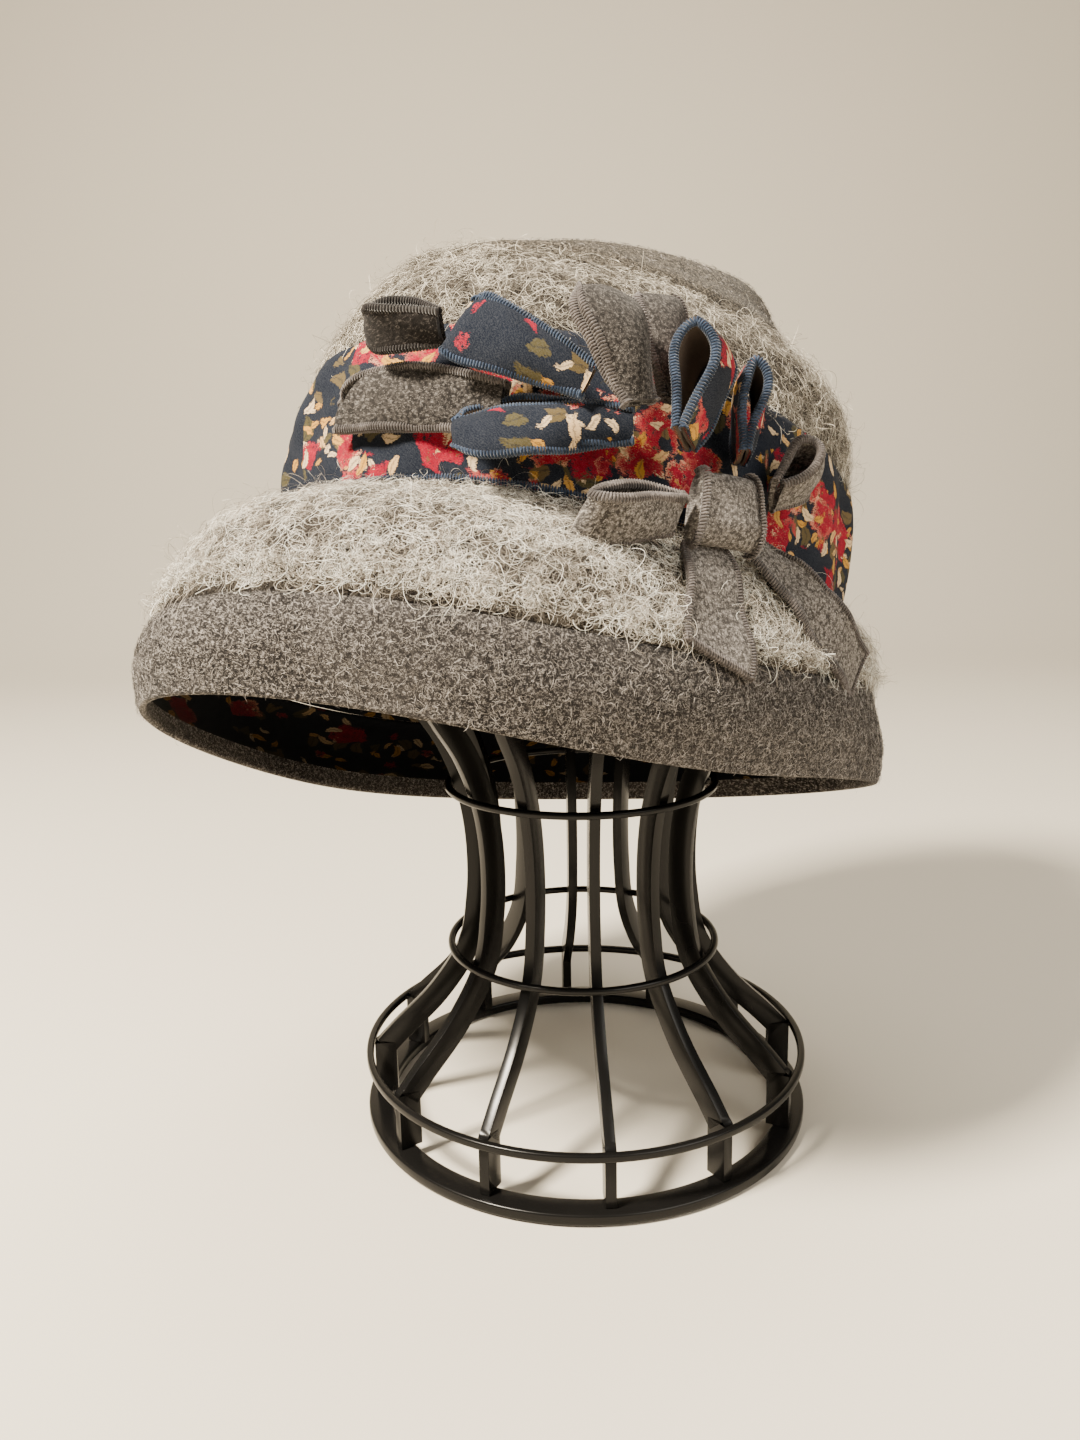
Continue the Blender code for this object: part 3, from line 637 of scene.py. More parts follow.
def strands(name, cloth, span, turn, count, seed, look, slot,
            steps, length, stand, half, down=0.0, clump=0):
    """Fine hairs, each a thin ribbon, that start in a part of the cloth and curl about over it.

    cloth is a form and the relief of its face. length, stand (how high they rise) and half (half
    their width) are in mm. down is the share that lies along the slope, as where the cloth is
    turned in at a seam. Most hairs stand in locks of clump hairs.
    """
    form, relief = cloth
    draw = np.random.default_rng(seed)
    t = np.radians(draw.uniform(turn[0], turn[1], count))
    s = draw.uniform(span[0], span[1], count)
    if clump:
        lock = draw.integers(0, count // clump, count)
        loose = draw.random(count) < 0.22
        t = np.where(loose, t, t[lock] + draw.normal(0, 0.011, count))
        s = np.where(loose, s, np.clip(s[lock] + draw.normal(0, 0.035, count), *span))
    point, way_round, climb, out = frames_on(form, t, s)
    point = point + out * relief(t, s)[:, None]
    long = draw.uniform(*length, count) * MM
    heading = draw.uniform(0, ROUND, count)
    if clump:
        heading = np.where(loose, heading, heading[lock] + draw.normal(0, 0.7, count))
    combed = draw.random(count) < down
    heading[combed] = draw.normal(math.pi / 2, 0.35, combed.sum())
    bend = draw.normal(0, 0.75, count)
    bend[combed] *= 0.4
    high = np.abs(draw.normal(stand[0], stand[1], count)) * MM
    stray = draw.random(count) < 0.035
    high[stray] *= 2.8
    if form is BRIM:
        for pressed_turn, level, radius in PRESSED:
            spot = on_form(form, np.array([math.radians(pressed_turn)]), np.array([level]))
            high[np.linalg.norm(point - spot, axis=-1) < radius * MM] *= 0.12
    roll = draw.uniform(-1.1, 1.1, count)
    wide = draw.uniform(half[0], half[1], count) * MM
    arch_share = draw.uniform(0.75, 1.0, count)
    place = point - out * 0.3 * MM
    path = [place]
    for k in range(steps):
        bend += draw.normal(0, 0.22, count)
        heading += bend * 8 / steps
        move = way_round * np.cos(heading)[:, None] + climb * np.sin(heading)[:, None]
        place = place + move * (long / steps)[:, None]
        arch = np.sin(math.pi * (k + 1) / steps * arch_share)
        path.append(place + out * (high * arch + 0.5 * MM)[:, None])
    path = np.stack(path, 1)
    along = unit(np.gradient(path, axis=1))
    flat = unit(np.cross(along, out[:, None, :]))
    across = flat * np.cos(roll)[:, None, None] + np.cross(along, flat) * np.sin(roll)[:, None, None]
    taper = np.full(steps + 1, 1.0)
    taper[-1] = 0.3
    side = across * (wide[:, None] * taper)[:, :, None]
    corners = to_stand(np.stack([path - side, path + side], 2).reshape(-1, 3))
    first = np.arange(count)[:, None] * (steps + 1) * 2 + np.arange(steps) * 2
    faces = np.stack([first, first + 1, first + 3, first + 2], -1).reshape(-1, 4)
    mesh = mesh_from(name, corners, faces)
    tone = mesh.attributes.new("tone", "FLOAT", "POINT")
    shade = draw.random(count)
    if clump:
        shade = np.where(loose, shade, 0.45 * shade + 0.55 * draw.random(count)[lock])
    tone.data.foreach_set("value", np.repeat(shade, (steps + 1) * 2))
    place_piece(name, mesh, look)


def mesh_from(name, corners, faces):
    """One mesh of many small like parts, laid out by arrays of their corners and four-sided faces."""
    mesh = bpy.data.meshes.new(name)
    mesh.vertices.add(len(corners))
    mesh.vertices.foreach_set("co", corners.ravel())
    mesh.loops.add(faces.size)
    mesh.loops.foreach_set("vertex_index", faces.ravel())
    mesh.polygons.add(len(faces))
    mesh.polygons.foreach_set("loop_start", np.arange(0, faces.size, 4))
    mesh.update(calc_edges=True)
    return mesh


def hair_look(name, dark, middle, light):
    look, tree, shader = new_look(name, 0.75, 0.12)
    tone = step(tree, "Attribute", attribute_name="tone", out=2)
    colour = mix(tree, fade(tone, 0.1, 0.5), dark, middle)
    colour = mix(tree, fade(tone, 0.45, 0.9), colour, light)
    tree.links.new(colour, shader.inputs["Base Color"])
    return look


BRIM_HAIR = hair_look("brim_mohair", (0.022, 0.018, 0.014), (0.50, 0.445, 0.37), (1.0, 0.99, 0.90))
# The crown's curls are the brim's mohair coloured far darker, as painted shade on the crown's side.
CROWN_HAIR_IN_PAINTED_SHADE = hair_look("crown_mohair_in_painted_shade", (0.010, 0.008, 0.0065), (0.145, 0.125, 0.10), (0.92, 0.85, 0.71))
FINE = (0.024, 0.05)
CURLS = {"steps": 10, "length": (7.0, 16.0), "stand": (1.3, 0.9), "half": FINE, "clump": 14}
SEAM_CURLS = {"steps": 6, "length": (2.5, 4.6), "stand": (1.7, 0.6), "half": FINE, "down": 0.6}
MOHAIR = (
    ("mohair_on_{}_brim", (BRIM, brim_relief), (0.03, 1.93), 8800, 41, BRIM_HAIR, CURLS),
    ("mohair_over_{}_seam", (BRIM, brim_relief), (1.62, 1.9), 3400, 45, BRIM_HAIR, SEAM_CURLS),
    ("mohair_on_{}_crown", (CROWN, side_relief), (1.9, 3.97), 8200, 43, CROWN_HAIR_IN_PAINTED_SHADE, CURLS),
)
SIDES = (("front", (-20, 70), 1.0), ("left", (70, 160), 1.0), ("right", (160, 340), 0.6))
for side, turn, share in SIDES:
    for name, cloth, span, count, seed, look, hairs in MOHAIR:
        strands(name.format(side), cloth, span, turn, int(count * share), seed, look, "mohair", **hairs)

# The felt's nap: short fibres that lie on the strip, its rim and the tip in every direction.
NAP_LOOK = hair_look("felt_nap", (0.004, 0.0036, 0.0034), (0.026, 0.023, 0.0215), (0.40, 0.365, 0.335))
NAP = {"steps": 3, "length": (2.0, 4.5), "stand": (0.15, 0.25), "half": (0.03, 0.06)}
NAPPED = (
    ("nap_on_left_edge", (BRIM, edge_relief), (2.03, 3.97), (-20, 160), 15000, 51),
    ("nap_on_right_edge", (BRIM, edge_relief), (2.03, 3.97), (160, 340), 7500, 51),
    ("nap_on_tip", (CROWN, tip_relief), (4.05, 5.9), (0, 360), 7000, 52),
)
for row in NAPPED:
    strands(*row, NAP_LOOK, "grey_felt", **NAP)

# The band: a bias strip of floral cotton twill draped in loose folds round the crown's foot.
GAP = 0.3 * MM
BAND_WALL = 1.6 * MM
BAND_FOOT = 0.02
BAND_TOP = 1.97
FOLD_AT_EDGE = 0.25
FOLD_ROUND = 0.6
BAND_FOLDS = (
    (-35.0, -18.0, 5.0, 6.0),
    (-12.0, 4.0, 4.0, 5.0),
    (25.0, 42.0, 2.0, 8.0),
    (70.0, 60.0, 2.0, 10.0),
    (122.0, 112.0, 2.5, 6.0),
    (136.0, 130.0, 3.0, 5.0),
    (158.0, 170.0, 2.5, 8.0),
    (190.0, 205.0, 4.0, 8.0),
    (222.0, 240.0, 4.5, 8.0),
    (262.0, 280.0, 4.0, 8.0),
    (298.0, 312.0, 4.5, 7.0),
)
SMALL_FOLDS = 34
BAND_GIRTH = 0.66
BAND_AROUND = 520
BAND_PRINT = flower_print("band_print", blooms=0.9, sprigs=0.62, shift=(0.004, 0.003, 0.0),
                          roses=(0.024, 0.24))


def band_lift(t, v):
    """How far the band's face stands off the crown, from its foot (v = 0) to its top (v = 1)."""
    lift = np.zeros_like(t)
    for foot, upper, high, half_width in BAND_FOLDS:
        middle = math.radians(foot) * (1 - v) + math.radians(upper) * v
        off = np.arctan2(np.sin(t - middle), np.cos(t - middle)) / math.radians(half_width)
        lift = np.maximum(lift, high * np.exp(-off ** 2))
    full = np.sin(math.pi * np.clip(v, 0.0, 1.0)) ** FOLD_ROUND
    small = 0.45 + 0.45 * np.sin(SMALL_FOLDS * t + 5.5 * v + 2.4 * np.sin(4 * t))
    lift = lift * (FOLD_AT_EDGE + (1 - FOLD_AT_EDGE) * full) + small * full
    return GAP + BAND_WALL + lift * MM


def band_wall():
    steps = 30
    outer = [(v, 0.0) for v in np.linspace(0, 1, steps)]
    rows = np.array(outer + [(v, -BAND_WALL) for v in np.linspace(1, 0, steps)])

    def place(u, v):
        up, under = rows_at(v, rows).T
        t = u * ROUND
        point, _, _, out = frames_on(CROWN, t, BAND_FOOT + (BAND_TOP - BAND_FOOT) * up)
        point = point + out * (band_lift(t, up) + under)[:, None]
        return point, np.stack([u * BAND_GIRTH, up * 0.052 + u * 0.03], -1)

    return close_shell(bent_grid(BAND_AROUND, len(rows), place))


STITCH_PITCH = 0.86 * MM
STITCH_REACH = 1.9 * MM
STITCH_HALF = 0.41 * MM
STITCH_THICK = 0.36 * MM


def thread_look(name, colour):
    look, tree, shader = new_look(name, 0.7, 0.2)
    place = step(tree, "TexCoord", out=3)
    twist = noise(place, 1300.0, 1.0)
    drift = noise(place, 130.0, 1.0)
    # pale is the thread's colour made lighter, painted as highlights on the twists where the noise puts
    # them.
    pale = tuple(min(1.0, channel * 2.0 + 0.01) for channel in colour)
    flecked_with_highlights = mix(tree, fade(times(twist, drift), 0.18, 0.36), colour, pale)
    finish_look(tree, shader, flecked_with_highlights, twist, 0.4, 0.2 * MM)
    return look


DARK_THREAD = thread_look("dark_thread", (0.014, 0.012, 0.011))
THREAD_LOOKS = {
    "grey_felt": thread_look("grey_felt_thread", (0.062, 0.054, 0.051)),
    "floral_cotton": thread_look("floral_cotton_thread", (0.012, 0.021, 0.040)),
}


def lengths_along(points):
    return np.concatenate([[0], np.cumsum(np.linalg.norm(np.diff(points, axis=0), axis=1))])


def overlock(name, edges, look, half_wall=BAND_WALL / 2):
    """Close stitches wrapped over cloth edges. Each edge: points, ways outward and face ways."""
    bars = []
    for point, outward, face in edges:
        long = lengths_along(point)
        at = np.arange(STITCH_PITCH / 2, long[-1], STITCH_PITCH)
        where, away, up = (np.stack([np.interp(at, long, values[:, i]) for i in range(3)], -1)
                           for values in (point, outward, face))
        away = unit(away)
        up = unit(up)
        bars.append((where, away, up, unit(np.cross(up, away))))
    where, away, up, ahead = (np.vstack([bar[i] for bar in bars]) for i in range(4))
    high = half_wall + STITCH_THICK * 0.5
    over = ((-STITCH_REACH, high - 0.1 * MM, -0.4), (-0.9 * MM, high + 0.2 * MM, -0.25),
            (0.15 * MM, high * 0.6, -0.1))
    route = over + tuple((outward, -lift, -slant) for outward, lift, slant in over[::-1])
    rings = []
    for k, (outward, lift, slant) in enumerate(route):
        middle = where + away * outward + up * lift + ahead * (slant * STITCH_PITCH)
        turn = math.pi * k / (len(route) - 1)
        normal = up * math.cos(turn) + away * math.sin(turn)
        thin = 0.5 if k in (0, len(route) - 1) else 1.0
        ring = [middle + ahead * (a * STITCH_HALF * thin) + normal * (b * STITCH_THICK * thin)
                for a, b in ((1, 0), (0, 1), (-1, 0), (0, -1))]
        rings.append(np.stack(ring, 1))
    corners = to_stand(np.stack(rings, 1).reshape(-1, 3))
    base = np.arange(len(where))[:, None, None] * len(route) * 4
    ring = np.arange(len(route) - 1)[None, :, None] * 4
    side = np.arange(4)[None, None, :]
    following = (side + 1) % 4
    faces = np.stack([base + ring + side, base + ring + 4 + side, base + ring + 4 + following,
                      base + ring + following], -1).reshape(-1, 4)
    ends = base.reshape(-1, 1) + np.arange(4)
    faces = np.vstack([faces, ends, ends[:, ::-1] + (len(route) - 1) * 4])
    mesh = mesh_from(name, corners, faces)
    mesh.shade_smooth()
    shape = bmesh.new()
    shape.from_mesh(mesh)
    bmesh.ops.recalc_face_normals(shape, faces=shape.faces)
    shape.to_mesh(mesh)
    shape.free()
    place_piece(name, mesh, look)


piece = add_piece("floral_band", band_wall(), BAND_PRINT, "hat_band")

t = np.linspace(0, ROUND, 900)
point, _, climb, out = frames_on(CROWN, t, np.full_like(t, BAND_FOOT))
foot = point + out * (band_lift(t, np.zeros_like(t)) - BAND_WALL / 2)[:, None]
overlock("band_stitches", [(foot, -climb, out)], THREAD_LOOKS["floral_cotton"])

# The ribbons: short folded lengths of felt and of floral twill, overlocked along both edges and
# caught down under the bow in a fan. Angles are in degrees from the front, levels in rows up the
# crown, or down the brim where they are below zero, and the rest is in mm.
RIBBON_WALL = 1.6 * MM
START_OFF = 8.0 * MM
WAVE = 0.6 * MM
WAVE_LONG = 23 * MM
SWAY_LONG = 36 * MM
LOOP_ARCH = 0.04
LOOP_STEPS = 16
FINE_STEPS = 72
LOOP_COLUMNS = ("name", "slot", "root_turn", "root_level", "tip_turn", "tip_level",
                "root_width", "width", "open", "lean")
LOOPS = (
    ("leaf_flap", "grey_felt", 45.0, 0.78, 16.5, 1.06, 14.0, 24.0, 4.0, 10.0),
    ("floral_twist", "floral_cotton", 64.0, 0.80, 38.0, 0.42, 10.0, 19.0, 6.0, 20.0),
    ("small_loop", "grey_felt", 36.5, 1.46, 24.0, 1.55, 10.0, 14.0, 9.0, 40.0),
    ("tall_loop", "grey_felt", 69.5, 1.30, 64.5, 2.50, 10.0, 20.0, 6.0, -20.0),
    ("floral_front_loop", "floral_cotton", 57.0, 1.05, 37.0, 1.55, 10.0, 22.0, 7.0, 12.0),
    ("large_loop", "grey_felt", 63.0, 0.85, 54.0, 1.95, 11.0, 25.0, 9.0, -28.0),
    ("floral_back_loop", "floral_cotton", 83.0, 0.92, 82.0, 1.94, 12.0, 18.0, 8.0, -60.0),
    ("floral_upright_loop", "floral_cotton", 70.0, 0.70, 71.3, 1.90, 14.0, 20.0, 11.0, -60.0),
    ("bow_loop_front", "grey_felt", 73.0, -0.45, 57.5, -0.72, 12.0, 19.0, 11.0, 42.0),
    ("bow_loop_back", "grey_felt", 91.5, 0.66, 98.0, 1.34, 12.0, 18.0, 12.0, -38.0),
)
# The bow's loops, tails and knot are the same grey felt as the other felt loops, coloured lighter as
# painted sunlight.
BOW_FELT_PAINTED_SUNLIT = felt("bow_felt_painted_sunlit", (0.034, 0.031, 0.0295), (0.108, 0.098, 0.091), (0.30, 0.276, 0.253), 0.59)
# The leaf flap, tall loop and large loop share one copy of that felt, coloured darker as painted shade.
RIBBON_FELT_PAINTED_SHADE = felt("ribbon_felt_painted_shade", (0.013, 0.0118, 0.0112), (0.040, 0.036, 0.0335),
                   (0.135, 0.124, 0.114), 0.60)
DARK_FELT = felt("dark_felt", (0.004, 0.0036, 0.0034), (0.011, 0.0095, 0.009), (0.06, 0.054, 0.05), 0.62)
SPRIG_PRINT = flower_print("sprig_print", blooms=0.25, sprigs=0.34, shift=(0.012, 0.03, 0.0))
RIBBON_PRINT = flower_print("ribbon_print", blooms=0.9, sprigs=0.5, shift=(0.012, 0.03, 0.0))
OTHER_LOOKS = {"bow_loop_front": BOW_FELT_PAINTED_SUNLIT, "bow_loop_back": BOW_FELT_PAINTED_SUNLIT, "small_loop": DARK_FELT,
               "floral_front_loop": SPRIG_PRINT, "floral_twist": SPRIG_PRINT}


def on_hat(turn, level, lift):
    """A point off the hat's face and the way out there; a level below zero is on the brim."""
    form = CROWN if level >= 0 else BRIM
    point, _, _, out = frames_on(form, np.array([math.radians(turn)]), np.array([abs(level)]))
    return point[0] + out[0] * lift, out[0]


def way_out(turn, level):
    return on_hat(turn, max(level, 0.0), 0.0)[1]


def fold_share(count):
    """0 at both ends of a folded ribbon and 1 at its fold."""
    return (1 - np.cos(ROUND * np.linspace(0, 1, count))) / 2


def loop_frames(row, steps):
    """Along a ribbon loop: its middle, the way across it, its outer face's way and half its width."""
    _, _, root_turn, root_level, tip_turn, tip_level, root_width, width, opened, lean = row
    root = on_hat(root_turn, root_level, START_OFF)[0]
    fold = on_hat(tip_turn, tip_level, START_OFF)[0]
    run = fold - root
    length = np.linalg.norm(run)
    run = run / length
    out = way_out(root_turn, root_level) + way_out(tip_turn, tip_level)
    out = unit(out - run * (out @ run))
    side = np.cross(run, out)
    lean = math.radians(lean)
    across = side * math.cos(lean) + out * math.sin(lean)
    opening = out * math.cos(lean) - side * math.sin(lean)
    u = np.linspace(0, 1, steps + 1)
    reach = fold_share(steps + 1)
    swell = -np.sin(ROUND * u) * np.sqrt(reach) * opened * MM / 2
    apart = -(1 - 2 * u) * (RIBBON_WALL / 2 + GAP)
    bow = np.sin(math.pi * reach) * LOOP_ARCH * length
    middle = (root + run * (length * reach)[:, None] + opening * (swell + apart)[:, None]
              + out * bow[:, None])
    half = (root_width * (1 - reach) + width * reach) * MM / 2
    ahead = np.vstack([middle[1:], middle[-1:]])
    behind = np.vstack([middle[:1], middle[:-1]])
    face = unit(np.cross(ahead - behind, across))
    return middle, np.tile(across, (steps + 1, 1)), face, half


def box_middle(node):
    low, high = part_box(node)
    return (np.array(low) + np.array(high)) / 2


def strip_middle(middle, across, face, half):
    """The middle of a strip's box on the stand."""
    edge = across * half[:, None]
    thick = face * RIBBON_WALL / 2
    corners = to_stand(np.vstack([middle + a * edge + b * thick for a in (-1, 1) for b in (-1, 1)]))
    return (corners.min(0) + corners.max(0)) / 2


def fill_ends(shape):
    bmesh.ops.holes_fill(shape, edges=[edge for edge in shape.edges if edge.is_boundary])
    bmesh.ops.recalc_face_normals(shape, faces=shape.faces)
    return shape


def ribbon(node, frames, look, bulge, seed):
    """A node's ribbon of cloth along its frames, with its printed or outer side on the face's side.

    Between its ends its edges fall back by bulge mm, and its surface waves a little. Returns its
    two long edges and its far end, each as points, ways outward and face ways.
    """
    middle, across, face, half = frames
    count = len(middle)
    long = lengths_along(middle)
    full = np.sqrt(np.abs(np.sin(ROUND * np.linspace(0, 1, count))))
    wide = 12
    sides = wide * 2 + 2
    phase = np.random.default_rng(seed).uniform(0, ROUND, 3)

    def on_ribbon(k, w, off):
        lift = off - bulge * MM * full[k] * w ** 2
        lift = lift + WAVE * np.sin(long[k] / WAVE_LONG * ROUND + phase[0] + w) * np.abs(w) ** 1.5
        lift = lift + WAVE * 0.7 * np.sin(long[k] / SWAY_LONG * ROUND + phase[1] + 2 * w)
        return middle[k] + across[k] * (w * half[k])[:, None] + face[k] * lift[:, None]

    def place(u, v):
        k = np.rint(u * (count - 1)).astype(int)
        j = np.rint(v * sides).astype(int) % sides
        front = j <= wide
        w = np.where(front, j / wide, (sides - 1 - j) / wide) * 2 - 1
        off = np.where(front, 0.5, -0.5) * RIBBON_WALL * (1 - 0.25 * np.abs(w) ** 6)
        over = w * half[k] + np.where(front, 0.0, BACK_AWAY)
        return on_ribbon(k, w, off), np.stack([long[k], over], -1)

    shape = fill_ends(bent_grid(count - 1, sides, place))
    piece = add_piece(node + "_ribbon", shape, look, node)
    whole = np.arange(count)
    edges = [(on_ribbon(whole, np.full(count, w), 0.0), across * w, face) for w in (1.0, -1.0)]
    last = np.full(20, count - 1)
    away = np.tile(unit(middle[-1] - middle[-3]), (20, 1))
    return edges, (on_ribbon(last, np.linspace(-1, 1, 20), 0.0), away, face[last])


def rounded_fold(frames, share, upper, lower):
    """Pull a loop's edges in by upper and lower mm towards its fold, so that its corners are round."""
    middle, across, face, half = frames
    reach = fold_share(len(middle))
    near = 1 - np.sqrt(1 - np.clip((reach - share) / (1 - share), 0, 1) ** 2)
    middle = middle + across * (near * (lower - upper) / 2 * MM)[:, None]
    return middle, across, face, half - near * (upper + lower) / 2 * MM


SOFT_COLUMNS = ("open", "lean", "bulge", "share", "upper", "lower", "drop", "twist")
SOFT = {
    "leaf_flap": (4.0, 10.0, 2.4, 0.30, 15.0, 0.0, 0.0, 0.0),
    "floral_twist": (9.0, 12.0, 2.6, 0.60, 4.0, 3.0, 0.0, 46.0),
    "small_loop": (10.0, 46.0, 0.6, 0.70, 3.0, 3.0, 0.0, 0.0),
    "tall_loop": (7.0, -20.0, 2.2, 0.50, 3.0, 4.0, 0.0, -10.0),
    "floral_front_loop": (8.0, 12.0, 3.0, 0.60, 3.0, 1.0, 0.0, 14.0),
    "large_loop": (13.0, -22.0, 3.0, 0.60, 3.0, 6.0, 0.0, 8.0),
    "floral_back_loop": (9.0, -58.0, 1.0, 0.80, 0.0, 0.0, 0.0, 0.0),
    "floral_upright_loop": (14.0, -50.0, 1.0, 0.80, 0.0, 0.0, 0.0, -8.0),
    "bow_loop_front": (11.0, 40.0, 1.0, 0.70, 2.0, 2.0, 4.5, -8.0),
    "bow_loop_back": (13.0, -44.0, 1.0, 0.80, 1.0, 1.0, 0.0, 0.0),
}
DOWN = HAT_TURN.T @ (0.0, 0.0, -1.0)


def hang(frames, drop, twist):
    """Let a loop's fold hang lower by drop mm and turn about the loop's length by twist degrees."""
    middle, across, face, half = frames
    reach = fold_share(len(middle))
    middle = middle + DOWN * (reach * drop * MM)[:, None]
    run = unit(middle[len(middle) // 2] - middle[0])
    turn = np.radians(twist) * reach[:, None]

    def turned(way):
        return (way * np.cos(turn) + np.cross(run, way) * np.sin(turn)
                + run * (way @ run)[:, None] * (1 - np.cos(turn)))

    return middle, turned(across), turned(face), half


for number, row in enumerate(LOOPS):
    value = dict(zip(LOOP_COLUMNS, row))
    node, slot = row[:2]
    soft_value = dict(zip(SOFT_COLUMNS, SOFT[node]))
    settled = HAT_TURN.T @ (box_middle(node) - strip_middle(*loop_frames(row, LOOP_STEPS)))
    finer = [soft_value.get(name, value[name]) for name in LOOP_COLUMNS]
    middle, *others = loop_frames(finer, FINE_STEPS)
    frames = (middle + settled, *others)
    frames = rounded_fold(frames, soft_value["share"], soft_value["upper"], soft_value["lower"])
    frames = hang(frames, soft_value["drop"], soft_value["twist"])
    # Felt loops take the felt's darker copy, painted shade.
    look = RIBBON_FELT_PAINTED_SHADE if slot == "grey_felt" else RIBBON_PRINT
    look = OTHER_LOOKS.get(node, look)
    edges, _ = ribbon(node, frames, look, soft_value["bulge"], 60 + number)
    thread = DARK_THREAD if node == "small_loop" else THREAD_LOOKS[slot]
    overlock(node + "_stitches", edges, thread)

# The bow's tails: two lengths of the felt ribbon hanging from the knot over the brim. Each row:
# angle, level, half width and lift in mm, and tilt in degrees.
TAILS = {
    "bow_tail_front": (
        (79.8, -0.62, 7.4, 4.2, 0.0),
        (80.4, -0.95, 8.8, 3.2, 0.0),
        (81.0, -1.40, 10.2, 2.1, 0.0),
        (81.4, -1.90, 11.6, 1.7, 0.0),
        (81.5, -2.12, 12.0, 1.6, 0.0),
    ),
    "bow_tail_back": (
        (91.0, -0.30, 6.6, 6.0, 8.0),
        (96.5, -0.70, 7.6, 5.8, 16.0),
        (103.5, -1.15, 8.6, 5.0, 16.0),
        (111.5, -1.60, 9.0, 3.5, 9.0),
        (118.5, -1.98, 8.6, 1.9, 2.0),
    ),
}
TAIL_STEPS = 40
HEMS = {"bow_tail_front": 3.0, "bow_tail_back": 0.0}


def tail_frames(rows):
    """A tail's frames, read smoothly from its rows."""
    table = np.array(rows)
    known = np.arange(len(table))
    at = np.linspace(0, len(table) - 1, TAIL_STEPS + 1)
    turn, level, half, lift, tilt = (np.interp(at, known, column) for column in table.T)
    t = np.radians(turn)
    point, way_round, _, out = frames_on(BRIM, t, np.abs(level))
    tilt = np.radians(tilt)[:, None]
    middle = point + out * (lift * MM)[:, None]
    ahead = unit(np.gradient(middle, axis=0))
    way_round = unit(way_round - ahead * (way_round * ahead).sum(-1, keepdims=True))
    across = way_round * np.cos(tilt) + out * np.sin(tilt)
    face = out * np.cos(tilt) - way_round * np.sin(tilt)
    return middle, across, face, half * MM


def slant_hem(frames, slant):
    """Turn the last of a tail's cross lines, so that its hem runs off square by slant at each side."""
    middle, across, face, half = frames
    ahead = unit(np.gradient(middle, axis=0))
    share = soft(np.linspace(0, 1, len(middle)), 0.55, 1.0)
    turned = unit(across * half[:, None] + ahead * (share * slant)[:, None])
    return middle, turned, face, half


for number, (node, rows) in enumerate(TAILS.items()):
    frames = slant_hem(tail_frames(rows), HEMS[node] * MM)
    # The tails use the felt's lighter copy, painted sunlight.
    edges, hem = ribbon(node, frames, BOW_FELT_PAINTED_SUNLIT, -0.4, 80 + number)
    overlock(node + "_stitches", [*edges, hem], THREAD_LOOKS["grey_felt"])

# The knot: a length of the same ribbon wrapped over the bow's middle, plump, and fuller below.
# Its overlocked edges run down both its sides.
KNOT_SIZE = (20.5, 20.0, 10.0)
KNOT_TURN = 80.5
KNOT_LEVEL = 0.17
KNOT_UP = 0.1
KNOT_SQUARE = 0.8
KNOT_LEAN = 12.0
KNOT_HALF_WALL = 0.7 * MM

knot_middle = HAT_TURN.T @ (box_middle("bow_knot") - np.array(ON_STAND.translation))
here, knot_out = on_hat(KNOT_TURN, KNOT_LEVEL, START_OFF)
knot_up = on_hat(KNOT_TURN, KNOT_LEVEL + KNOT_UP, START_OFF)[0] - here
knot_up = unit(knot_up - knot_out * (knot_up @ knot_out))
knot_right = np.cross(knot_up, knot_out)
turned = math.radians(KNOT_LEAN)
knot_up, knot_right = (knot_up * math.cos(turned) - knot_right * math.sin(turned),
                       knot_right * math.cos(turned) + knot_up * math.sin(turned))
wide, tall, deep = (side * MM / 2 for side in KNOT_SIZE)


def on_knot(turn, x):
    """Points on the knot, turned from its top over its front, x across it from -1 to 1."""
    y = np.sign(np.cos(turn)) * np.abs(np.cos(turn)) ** KNOT_SQUARE
    z = np.sign(np.sin(turn)) * np.abs(np.sin(turn)) ** KNOT_SQUARE
    front = soft(z, -0.2, 0.6)
    fuller = 0.9 * MM * np.exp(-((y + 0.45) / 0.4) ** 2) * (1 + 0.5 * x)
    creases = 0.22 * MM * np.sin(6.0 * x + 2.0 * y + 1.0) * (1 - x * x)
    sides = 1 - 0.24 * x ** 4
    across = x * wide * (0.96 - 0.09 * y)
    up = y * tall * (1 - 0.05 * x * x) - 0.7 * MM * soft(x, 0.0, 1.0) * soft(-y, 0.0, 1.0)
    out = z * deep * sides + front * (fuller + creases + 0.5 * MM * (1 - x * x) - 0.6 * MM)
    return knot_middle + knot_right * across[:, None] + knot_up * up[:, None] + knot_out * out[:, None]


def knot_place(u, v):
    return on_knot(u * ROUND, v * 2 - 1), np.stack([u * 0.06, v * 0.02], -1)


shape = bent_grid(72, 24, knot_place)
# The knot uses the felt's lighter copy, painted sunlight.
piece = add_piece("wrapped_knot", fill_ends(shape), BOW_FELT_PAINTED_SUNLIT, "bow_knot")
around = np.radians(np.linspace(-20, 200, 90))
edges = []
for x in (-1.0, 1.0):
    line = on_knot(around, np.full(90, x * 0.97))
    inner = on_knot(around, np.full(90, x * 0.80))
    ahead = unit(np.gradient(line, axis=0))
    outward = unit(line - inner)
    face = unit(np.cross(ahead, outward)) * -x
    edges.append((line - face * KNOT_HALF_WALL, outward, face))
overlock("knot_stitches", edges, THREAD_LOOKS["grey_felt"], KNOT_HALF_WALL)

